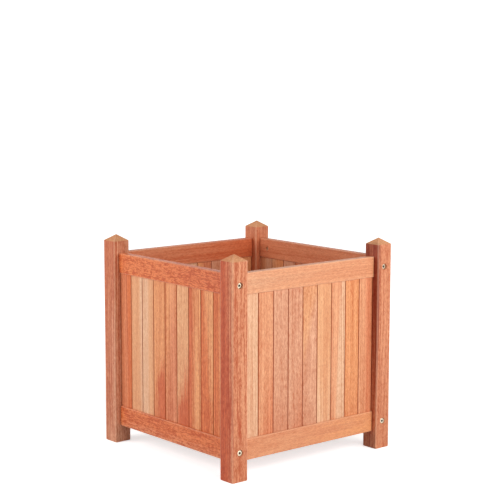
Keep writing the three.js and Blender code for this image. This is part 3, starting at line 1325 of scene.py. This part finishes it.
@dataclass
class Posts:
    """The four corner posts, with their points, feet, mortises and bolt holes.

    Args:
        rise: Height of the point.
        arris: Radius of the long edges.
        hip: Radius of the point's own edges at its tip.
        foot: Radius round the foot.
        brow: Radius where the sides turn into the point.
        tip: Half width of the blunted tip.
        steps: Segments in each eased edge.
        tenon_fit: Clearance round each tenon.
    """

    rise: float = 15 * MM
    arris: float = 3 * MM
    hip: float = 0.5 * MM
    foot: float = 2 * MM
    brow: float = 0.8 * MM
    tip: float = 0.5 * MM
    steps: int = 6
    tenon_fit: float = 0.3 * MM

    FALL = np.array([0.02, 0.35, 0.7, 1.0])  # the point's rings, as shares of the way to its tip
    HIP_POWER = 0.8  # the hip's radius falls with the share left to this power
    FULLEST = 0.98  # a corner's radius stays under this share of the half width

    FIGURES = {
        "front_left": Figure(
            Tone.BRICK, Tone.BLUSH, lean=(0.9, 0.0, 1.8), turn_at=1.25, mottle=1.2, streak=1.6,
            burst=(0.10, 0.4, 1.5),
        ),
        # Its left face darkens towards the top: dark heartwood, with painted shade.
        "front_right": Figure(
            Tone.MAHOGANY, Tone.BLUSH, lean=(-1.4, 4.0, 0.0), turn_at=-4.45, mottle=0.9, streak=1.1
        ),
        "back_left": Figure(
            Tone.SIENNA, Tone.ROSE, lean=(-1.4, 0.0, -0.6), turn_at=-0.3, mottle=0.8, streak=1.0
        ),
        "back_right": Figure(Tone.CLAY, Tone.SALMON, turn_at=0.6, mottle=0.5, streak=0.9),
    }

    def surface(self, half: float, height: float) -> Surface:
        """A post in its own axes: rounded squares stacked up, drawn in at the foot and to the point.

        At the brow the radius of the edge turns from upright to the point's slope, and above it the
        half width falls in a straight line to the tip while the corner radius shrinks with it.

        Args:
            half: Half the post's width.
            height: Its height, to the tip.

        Returns:
            The surface.
        """
        turn = np.linspace(0, np.pi / 2, self.steps + 1)
        foot_up = np.append(self.foot * (1 - np.cos(turn)), self.foot + SUPPORT)
        foot_half = half - np.append(self.foot * (1 - np.sin(turn)), 0)

        slope = math.atan2(self.rise, half)
        lean = np.linspace(0, np.pi / 2 - slope, self.steps + 1)
        cut_back = self.brow * math.tan((math.pi / 2 - slope) / 2)
        brow_up = height - self.rise - cut_back + self.brow * np.sin(lean)
        brow_half = half - self.brow * (1 - np.cos(lean))

        point_half = brow_half[-1] + (self.tip - brow_half[-1]) * self.FALL
        point_up = brow_up[-1] + (brow_half[-1] - point_half) * math.tan(slope)
        up = np.concatenate([foot_up, [brow_up[0] - SUPPORT], brow_up, point_up])
        halves = np.concatenate([foot_half, [half], brow_half, point_half])
        up = up * (height / up[-1])

        radius = np.minimum(self.arris, halves)
        point = (1 - self.FALL) ** self.HIP_POWER
        radius[-len(point) :] = self.hip + (self.arris - self.hip) * point
        radius = np.minimum(radius, halves * self.FULLEST)
        rings, eased = rounded_rings(halves, halves, radius, self.steps)
        stations = np.broadcast_to(up[:, None, None], rings.shape[:2] + (1,))
        end = np.concatenate([1 - turn / turn[-1], [0, 0], lean / lean[-1], np.ones(len(point))])
        return skin(np.concatenate([stations, rings], axis=-1), eased[None], end[:, None])

    def build(self, finishes: Finishes, holes: BoltHoles, rails: PanelRails) -> None:
        """Makes the four posts.

        Args:
            finishes: The materials.
            holes: Where the bolts run.
            rails: The rails, whose tenons the mortises take.
        """
        for seed, (corner, figure) in enumerate(self.FIGURES.items(), start=Seed.POSTS):
            post = Span.of(f"post_{corner}")
            half, height = LAYOUT.post / 2, float(post.high[2])
            front = math.copysign(1.0, post.centre[1])
            place = Place(post.centre * (1, 1, 0), np.array([UP, (-front, 0, 0), (0, front, 0)]))
            side = corner.split("_")[0]
            cutters = [holes.in_post(f"{corner}_{level}") for level in LEVELS]
            cutters += [self._mortise(post, rails.tenon(side, level)) for level in LEVELS]
            made = self.surface(half, height)
            timber = Timber(f"{corner}_post", made, place, (height, half, half), figure, seed)
            settle(timber.build(finishes.outside, cutters), "post_wood", f"post_{corner}")

    def _mortise(self, post: Span, tenon: Span) -> Surface:
        """The blind mortise for one rail's tenon.

        Args:
            post: The post's box.
            tenon: The tenons' box.

        Returns:
            The cutter.
        """
        low, high = tenon.low - self.tenon_fit, tenon.high + self.tenon_fit
        if post.centre[0] > 0:
            low[0] = post.low[0] - OVERCUT
        else:
            high[0] = post.high[0] + OVERCUT
        return block(low, high)


@dataclass
class Slats:
    """The thirty-six tongue-and-groove boards.

    Args:
        arris: Radius of the edges that make the V of each joint.
        tongue: Half the tongue's thickness.
        tongue_length: How far it stands out.
        joint: Open width of a joint.
        fit: Clearance round the tongue.
        steps: Segments in each eased edge.
    """

    arris: float = 1.2 * MM
    tongue: float = 1.75 * MM
    tongue_length: float = 5 * MM
    joint: float = 0.6 * MM
    fit: float = 0.3 * MM
    steps: int = 4

    FIGURES = {
        Side.FRONT: [
            Figure(Tone.CREAM, mottle=0.2, streak=0.7),
            Figure(Tone.PEACH, Tone.SALMON, lean=(-1.5, 1.0, 0.0), turn_at=1.1, mottle=0.5, streak=1.5),
            Figure(Tone.ROSE, Tone.CLAY, lean=(-1.4, 0.0, 0.0), turn_at=1.3, mottle=0.7, streak=0.6),
            Figure(Tone.ROSE, Tone.CLAY, lean=(-1.2, 0.5, 0.0), turn_at=1.1, mottle=0.7, streak=0.7),
            Figure(
                Tone.HONEY, Tone.ROSE, lean=(-2.5, 1.0, 0.0), turn_at=-1.0, mottle=0.6, streak=0.7,
                cut=Cut.FLAT, taper=0.06,
            ),
            Figure(Tone.HONEY, Tone.CREAM, lean=(-0.8, 0.0, 0.0), turn_at=0.8, mottle=0.2, streak=0.6),
            Figure(Tone.PEACH, Tone.CREAM, lean=(-1.4, 5.0, 0.0), turn_at=0.4, streak=1.0),
            Figure(Tone.AMBER, Tone.SALMON, lean=(-1.0, 0.0, 0.0), turn_at=1.2, mottle=0.5, streak=0.8),
            # Darker towards the front right post: a salmon tone, with painted shade from the post.
            Figure(Tone.PEACH, Tone.SALMON, lean=(0.0, 2.5, 0.0), turn_at=0.3, mottle=0.4, streak=1.0),
        ],
        Side.LEFT: [
            Figure(Tone.SALMON, Tone.EMBER, turn_at=0.9, mottle=0.4, streak=1.2),
            Figure(Tone.HONEY, Tone.CREAM, turn_at=1.9, mottle=0.2, streak=0.45),
            Figure(Tone.CREAM, Tone.HONEY, turn_at=0.5, mottle=0.2, streak=0.6),
            Figure(
                Tone.AMBER, Tone.RUSSET, lean=(-2.0, 0.8, 0.0), turn_at=1.2, mottle=0.5, streak=1.0,
                burst=(-0.54, 0.3, 1.2),
            ),
            Figure(Tone.AMBER, Tone.SALMON, lean=(-1.2, 1.0, 0.0), turn_at=-0.4, mottle=0.6, streak=1.5),
            Figure(
                Tone.HONEY, Tone.RUSSET, lean=(-2.2, 0.8, 0.0), turn_at=1.2, mottle=0.5, streak=1.0,
                burst=(-0.78, 0.2, 1.1),
            ),
            Figure(Tone.AMBER, Tone.RUSSET, lean=(0.0, -2.0, 0.0), turn_at=0.45, mottle=0.7, streak=1.8),
            Figure(
                Tone.AMBER, Tone.EMBER, lean=(-1.4, -2.2, 0.0), turn_at=-0.3, mottle=0.9, streak=2.4,
                burst=(-0.70, 0.1, 1.2),
            ),
            Figure(Tone.EMBER, Tone.AMBER, turn_at=0.1, mottle=0.8, streak=1.7),
        ],
        Side.RIGHT: [
            Figure(Tone.HONEY, mottle=0.2),
            Figure(Tone.ROSE, Tone.CLAY, turn_at=0.9, mottle=0.5),
            Figure(Tone.AMBER, mottle=0.4, streak=0.8),
            Figure(Tone.CREAM, mottle=0.1, streak=0.3),
            Figure(Tone.PEACH, Tone.HONEY, turn_at=0.4),
            Figure(Tone.SALMON, mottle=0.5, streak=0.7),
            Figure(Tone.ROSE, mottle=0.4),
            Figure(Tone.AMBER, Tone.HONEY, turn_at=0.9, streak=0.7),
            Figure(Tone.CREAM, Tone.HONEY, turn_at=0.3, mottle=0.1, streak=0.4),
        ],
        Side.BACK: [
            Figure(Tone.AMBER, streak=0.6),
            Figure(Tone.HONEY, Tone.PEACH, turn_at=0.5, mottle=0.2, streak=0.4),
            Figure(Tone.ROSE, mottle=0.5),
            Figure(Tone.SALMON, Tone.AMBER, turn_at=0.6, mottle=0.4, streak=0.8),
            Figure(Tone.CREAM, Tone.HONEY, turn_at=1.0, mottle=0.1, streak=0.3),
            Figure(Tone.PEACH),
            Figure(Tone.AMBER, mottle=0.4, streak=0.7),
            Figure(Tone.ROSE, Tone.CLAY, turn_at=0.7, mottle=0.5),
            Figure(Tone.HONEY, mottle=0.2),
        ],
    }

    def surface(self, half: Array, half_length: float, first: bool, last: bool) -> Surface:
        """A slat in its own axes, with its tongue on the right and its groove on the left.

        Args:
            half: Half its width between the shoulders, and half its thickness.
            half_length: Half its length.
            first: Whether it is a panel's first, which has no groove.
            last: Whether it is the last, which has no tongue.

        Returns:
            The surface.
        """
        deep = -half[0] + self.tongue_length - self.joint + self.fit
        groove = None if first else (deep, self.tongue + self.fit)
        tongue = None if last else (half[0] + self.tongue_length, self.tongue)
        outline, eased = section(half, self.arris, self.steps, left=groove, right=tongue)
        return skin(prism(outline, half_length), eased[None])

    def build(self, finishes: Finishes) -> None:
        """Makes all the slats.

        Args:
            finishes: The materials.
        """
        for panel, (side, figures) in enumerate(self.FIGURES.items()):
            pitch = 2 * LAYOUT.between / len(figures)
            for number, figure in enumerate(figures):
                node = f"slat_{side.word}_{number + 1}"
                slat = Span.of(node)
                half, half_length = np.array([pitch - self.joint, LAYOUT.slat]) / 2, slat.along(UP) / 2
                made = self.surface(half, half_length, number == 0, number == len(figures) - 1)
                middle = -LAYOUT.between + pitch * (number + 0.5)
                origin = side.out * LAYOUT.plane + side.right * middle + UP * slat.centre[2]
                timber = Timber(
                    f"{side.word}_slat_{number + 1}",
                    made,
                    Place.on(origin, UP, side.right),
                    (half_length, *half),
                    figure,
                    Seed.SLATS + Seed.PANEL * panel + number,
                    jointed=True,
                )
                settle(timber.build(finishes.outside), "slat_wood", node)


@dataclass
class Bolts:
    """The eight bolts with their hexagon sockets, and the eight barrel nuts.

    Args:
        holes: Where they run.
        head_radius: Radius of the head.
        chamfer: Eased edge of the head.
        socket: Across the flats of the hexagon, halved.
        socket_depth: Depth of the hexagon.
        lead: Width of the round lead into the hexagon, outside its corners.
        lead_depth: Depth of that lead.
        shank: Radius of the shank.
        pitch: Of the thread.
        thread_depth: Of the thread.
        thread_length: Of the threaded end.
        tapping: How much wider the nut's bore is than the shank, on the radius.
        nut_ease: Eased edge of the nut.
        nut_pole: Radius of the small rings that close the nut's ends and its bore's.
        slot_depth: Depth of the nut's slot.
        slot_width: Half the slot's width.
        around: Points round each ring.
    """

    holes: BoltHoles
    head_radius: float = 6.5 * MM
    chamfer: float = 0.9 * MM
    socket: float = 2 * MM
    socket_depth: float = 2.6 * MM
    lead: float = 0.8 * MM
    lead_depth: float = 0.9 * MM
    shank: float = 3 * MM
    pitch: float = 1 * MM
    thread_depth: float = 0.45 * MM
    thread_length: float = 24 * MM
    tapping: float = 0.1 * MM
    nut_ease: float = 0.4 * MM
    nut_pole: float = 0.5 * MM
    slot_depth: float = 1.8 * MM
    slot_width: float = 0.8 * MM
    around: int = 48

    SOCKET_ROWS = 5  # the first rings of a bolt, which lie in its socket and are painted with shade

    def rows(self, recess: float, tip: float) -> list[tuple[float, Union[Array, float]]]:
        """A bolt along its own axis, from the bottom of the socket to the tip.

        In the socket a ring is a hexagon: its radius at angle a is the half flats over the cosine of
        the angle to the nearest flat. On the threaded end it is the shank less a saw tooth of
        (depth / pitch - a's share of a turn).

        Args:
            recess: Depth of the head below the post's face.
            tip: Depth of the tip.

        Returns:
            Each ring's depth and radius.
        """
        angle = angles(self.around)
        hexagon = self.socket / np.cos(np.mod(angle + np.pi / 6, np.pi / 3) - np.pi / 6)
        lead = self.socket / math.cos(math.pi / 6) + self.lead
        rim = self.head_radius - self.chamfer
        floor, under, start = recess + self.socket_depth, recess + self.holes.head, tip - self.thread_length
        rows = [
            (floor + 0.5 * MM, 0.03 * self.socket),
            (floor, hexagon * 0.96),
            (floor - 0.1 * MM, hexagon),
            (recess + self.lead_depth, hexagon),
            (recess + 0.02 * MM, lead),
            (recess, lead + 0.15 * MM),
            (recess, rim - SUPPORT),
        ]
        for bevel in np.linspace(0, np.pi / 2, 5):
            rows.append((recess + self.chamfer * (1 - np.cos(bevel)), rim + self.chamfer * np.sin(bevel)))
        rows += [
            (under - 0.2 * MM, self.head_radius),
            (under, self.head_radius - 0.2 * MM),
            (under, self.shank),
            (start - 0.5 * MM, self.shank),
        ]
        for depth in np.linspace(start, tip - self.pitch, int(self.thread_length / self.pitch * 6)):
            tooth = np.abs(2 * np.mod(depth / self.pitch - angle / (2 * np.pi), 1) - 1)
            run_in = min((depth - start) / (2 * self.pitch), 1.0)
            rows.append((depth, self.shank - self.thread_depth * tooth * run_in))
        return rows + [(tip - 0.6 * MM, self.shank - self.thread_depth), (tip, self.shank * 0.7)]

    def build(self, finishes: Finishes) -> None:
        """Makes the bolts and nuts.

        Args:
            finishes: The materials.
        """
        for name in map("_".join, product(("front", "back"), ("left", "right"), LEVELS)):
            place, recess, tip = self.holes.run(name)
            rings = lathe(self.rows(recess, tip), self.around)
            # The socket's rings are marked for painted shade.
            grime = (np.arange(len(rings)) < self.SOCKET_ROWS).astype(float)[:, None]
            made = skin(rings, grime).at(place)
            bolt = object_from(f"{name}_bolt", made)
            put(bolt.data, "FLOAT", Attributes.GRIME, made.eased)
            dress(bolt, finishes.steel)
            settle(bolt, "bolt_steel", f"bolt_{name}")
            self._nut(name, finishes)

    def _nut(self, name: str, finishes: Finishes) -> None:
        """Makes the barrel nut that a bolt screws into, with its slotted end facing inside.

        Args:
            name: The bolt.
            finishes: The materials.
        """
        place = self.holes.nut_place(name)
        half, radius, ease = self.holes.nut_length / 2, self.holes.nut, self.nut_ease
        profile = [(-half, radius - ease), (-half + ease, radius)]
        profile += [(-along, size) for along, size in reversed(profile)]
        nut = object_from(f"{name}_barrel_nut", turned(place, profile, self.around, self.nut_pole))
        across = radius + OVERCUT
        bolt = Place(place.origin, self.holes.run(name)[0].axes)
        bore = [(-across, self.shank + self.tapping), (across, self.shank + self.tapping)]
        slot_reach = np.abs(bolt.axes[0]) * across + UP * self.slot_width
        ends = [place.to_planter(np.array([x, 0, 0])) for x in (half + OVERCUT, half - self.slot_depth)]
        slot = block(np.minimum(*ends) - slot_reach, np.maximum(*ends) + slot_reach)
        carve(nut, [turned(bolt, bore, DRILL_STEPS, self.nut_pole), slot])
        dress(nut, finishes.steel)
        settle(nut, "bolt_steel")


@dataclass
class Floor:
    """The four boards inside, and the screws that hold them to the ledgers.

    Args:
        arris: Radius of the boards' edges.
        steps: Segments in each eased edge.
        screw_radius: Radius of a screw's head.
        screw_sink: How far the head lies below the board's face.
        screw_spread: From a board's middle to each of its screws, across the board.
        sink_fit: Clearance round the head.
        pilot: Radius of the pilot hole.
        pilot_depth: Its depth, right through the board.
        pilot_pole: Radius of the small rings that close its ends.
        drive: Mean radius of the six-lobed drive.
        drive_depth: Its depth.
        around: Points round each screw.
    """

    arris: float = 2 * MM
    steps: int = 4
    screw_radius: float = 4 * MM
    screw_sink: float = 0.4 * MM
    screw_spread: float = 30 * MM
    sink_fit: float = 0.25 * MM
    pilot: float = 2 * MM
    pilot_depth: float = 22 * MM
    pilot_pole: float = 0.3 * MM
    drive: float = 1.5 * MM
    drive_depth: float = 1.4 * MM
    around: int = 36

    FIGURES = (
        Figure(Tone.CLAY, Tone.SALMON, turn_at=0.5, mottle=0.4, streak=0.7),
        Figure(Tone.ROSE, Tone.CLAY, turn_at=0.2, streak=0.6),
        Figure(Tone.SALMON, Tone.CLAY, turn_at=0.9, mottle=0.5, streak=0.6),
        Figure(Tone.ROSE, streak=0.8),
    )

    def build(self, finishes: Finishes) -> None:
        """Makes the boards and their screws.

        Args:
            finishes: The materials.
        """
        ledger = float(Span.of("rail_left_bottom").high[0]) - PanelRails.ledger_width / 2
        screws = []
        for number, figure in enumerate(self.FIGURES, start=1):
            board = Span.of(f"floor_board_{number}")
            half = (board.high - board.low) / 2
            made = bar(half[0], half[1:], self.arris, self.steps)
            spots = [
                Place.on((x, board.centre[1] + y, board.high[2]), -UP, Side.FRONT.right)
                for x in (ledger, -ledger)
                for y in (-self.screw_spread, self.screw_spread)
            ]
            place = Place.on(board.centre, Side.FRONT.right, -Side.FRONT.out)
            timber = Timber(f"floor_slat_{number}", made, place, tuple(half), figure, Seed.FLOOR + number)
            piece = timber.build(finishes.floor, [self._countersink(spot) for spot in spots])
            settle(piece, "floor_wood", f"floor_board_{number}")
            screws += spots
        self._screws(screws, finishes)

    def _countersink(self, spot: Place) -> Surface:
        """The cone that a screw's head sits in, with the pilot hole under it.

        Args:
            spot: The screw's place, with its axis down.

        Returns:
            The drill.
        """
        wide = self.screw_radius + self.sink_fit
        profile = [
            (-OVERCUT, wide),
            (self.screw_sink, wide),
            (self.screw_sink + wide - self.pilot, self.pilot),
            (self.pilot_depth, self.pilot),
        ]
        return turned(spot, profile, DRILL_STEPS, self.pilot_pole)

    def _screws(self, spots: list[Place], finishes: Finishes) -> None:
        """Makes all the screws as one piece: a flat head with a six-lobed drive over a cone.

        In the drive a ring's radius at angle a is drive * (1 + 0.16 cos 6a).

        Args:
            spots: Their places, with their axes down.
            finishes: The materials.
        """
        lobes = self.drive * (1 + 0.16 * np.cos(6 * angles(self.around)))
        top, head = self.screw_sink, self.screw_radius
        rows = [
            (top + self.drive_depth, 0.1 * MM),
            (top + self.drive_depth, 0.85 * lobes),
            (top + 0.1 * MM, lobes),
            (top, lobes + 0.12 * MM),
            (top, head - 0.25 * MM),
            (top + 0.2 * MM, head),
            (top + 0.4 * MM, head),
            (top + head - 1.6 * MM, 1.8 * MM),
            (top + 20 * MM, 1.6 * MM),
            (top + 21 * MM, 0.3 * MM),
        ]
        one = skin(lathe(rows, self.around))
        points = np.concatenate([one.at(spot).points for spot in spots])
        count = len(one.points)
        faces = [[corner + count * k for corner in face] for k in range(len(spots)) for face in one.faces]
        piece = object_from("floor_screws", Surface(points, faces))
        dress(piece, finishes.steel)
        settle(piece, "bolt_steel")


# ---- The studio ----------------------------------------------------------------------------------


@dataclass
class Lamp:
    """A soft box that looks at the planter.

    Args:
        name: Its name.
        azimuth: Where it stands, in degrees, turned as the camera's.
        elevation: How high, in degrees.
        distance: How far from the planter.
        size: Width and height.
        power: In watts.
    """

    name: str
    azimuth: float
    elevation: float
    distance: float
    size: Pair
    power: float


@dataclass
class Studio:
    """Floor, light and camera.

    Args:
        azimuth: The camera's, in degrees: 0 looks along +Y, and below 0 it stands to the left.
        elevation: The camera's, in degrees.
        roll: The camera's, in degrees.
        distance: From the camera to its target.
        target: What the camera looks at.
        lens: Its focal length on the sensor's width, in millimetres.
        sensor: The sensor's width, in millimetres.
        sky: Strength of the light from all round.
        reach: From the middle to the floor's edge.
        sweep: Radius of the sweep at its far edge.
        backdrop: Height that it rises to.
        lamps: The soft boxes.
    """

    azimuth: float = -40.22
    elevation: float = 7.89
    roll: float = 0.13
    distance: float = 3.5857
    target: Colour = (0.0117, 0.0, 0.4838)
    lens: float = 105.25
    sensor: float = 36.0
    sky: float = 0.26
    reach: float = 5.0
    sweep: float = 1.6
    backdrop: float = 4.0
    lamps: tuple[Lamp, ...] = (
        Lamp("key_box", 8.0, 24.0, 2.6, (3.0, 1.5), 60.0),
        Lamp("side_box", -114.0, 24.0, 2.6, (1.6, 1.4), 40.0),
    )

    @staticmethod
    def backwards(azimuth: float, elevation: float) -> Vector:
        """The way from the planter to something at that bearing.

        Args:
            azimuth: In degrees, turned as the camera's.
            elevation: In degrees.

        Returns:
            A unit vector.
        """
        turn, rise = math.radians(azimuth), math.radians(elevation)
        level = math.cos(rise)
        return Vector((math.sin(turn) * level, -math.cos(turn) * level, math.sin(rise)))

    @staticmethod
    def hang(
        name: str, data: bpy.types.ID, spot: Vector, back: Vector, roll: float = 0.0
    ) -> bpy.types.Object:
        """Hangs a camera or a lamp at a spot, so that it looks away from back.

        Args:
            name: Its name.
            data: The camera or lamp.
            spot: Where it hangs.
            back: The way behind it.
            roll: How far it is rolled, in degrees.

        Returns:
            The object.
        """
        hung = bpy.data.objects.new(name, data)
        bpy.context.scene.collection.objects.link(hung)
        turn = back.to_track_quat("Z", "Y").to_matrix().to_4x4()
        hung.matrix_world = Matrix.Translation(spot) @ turn @ Matrix.Rotation(math.radians(roll), 4, "Z")
        return hung

    def build(self) -> None:
        """Makes the whole studio."""
        bpy.context.scene.view_settings.view_transform = "Standard"
        self._camera()
        self._world()
        self._floor()
        for lamp in self.lamps:
            self._lamp(lamp)

    def _camera(self) -> None:
        """Makes the camera at the photograph's viewing angle."""
        data = bpy.data.cameras.new("camera")
        data.sensor_width = self.sensor
        data.lens = self.lens
        back = self.backwards(self.azimuth, self.elevation)
        spot = Vector(self.target) + back * self.distance
        bpy.context.scene.camera = self.hang("camera", data, spot, back, self.roll)

    def _world(self) -> None:
        """Lights the planter softly from all round, and shows white to the camera and in gloss."""
        world = bpy.data.worlds.new("studio")
        bpy.context.scene.world = world
        net = Net(world)
        strength = self.sky + net.seen() * (1 - self.sky)
        light = net.node("ShaderNodeBackground", {}, {"Strength": strength})
        net.surface(light, "ShaderNodeOutputWorld")

    def _floor(self) -> None:
        """Makes the floor, which sweeps up behind the planter in a quarter circle."""
        turn = np.linspace(0, np.pi / 2, 24)
        run = self.reach - self.sweep + self.sweep * np.sin(turn)
        run = np.concatenate([[-self.reach], run, [self.reach]])
        rise = np.concatenate([[0.0], self.sweep - self.sweep * np.cos(turn), [self.backdrop]])
        away = -np.array(self.backwards(self.azimuth, 0.0))
        sideways = np.array([away[1], -away[0], 0.0]) * self.reach * 1.6
        spine = run[:, None] * away + rise[:, None] * UP
        points = np.concatenate([spine - sideways, spine + sideways])
        count = len(spine)
        faces = [[k, k + 1, k + 1 + count, k + count] for k in range(count - 1)]
        floor = object_from("studio_floor", Surface(points, faces))
        floor.data.materials.append(StudioWhite().build())
        floor.data.shade_smooth()

    def _lamp(self, lamp: Lamp) -> None:
        """Makes one soft box, which looks at the middle of the planter.

        Args:
            lamp: The soft box.
        """
        data = bpy.data.lights.new(lamp.name, "AREA")
        data.shape = "RECTANGLE"
        data.size, data.size_y = lamp.size
        data.energy = lamp.power
        back = self.backwards(lamp.azimuth, lamp.elevation)
        middle = Vector((0, 0, Span.of("post_front_left").high[2] / 2))
        self.hang(lamp.name, data, middle + back * lamp.distance, back)


def main() -> None:
    """Builds the planter's looks and the studio round it."""
    logging.basicConfig(level=logging.INFO, format="%(name)s: %(message)s")
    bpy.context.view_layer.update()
    Studio().build()
    finishes, holes, rails = Finishes.make(), BoltHoles(), PanelRails()
    Posts().build(finishes, holes, rails)
    rails.build(finishes, holes)
    Slats().build(finishes)
    Bolts(holes).build(finishes)
    Floor().build(finishes)


if __name__ == "__main__":
    main()
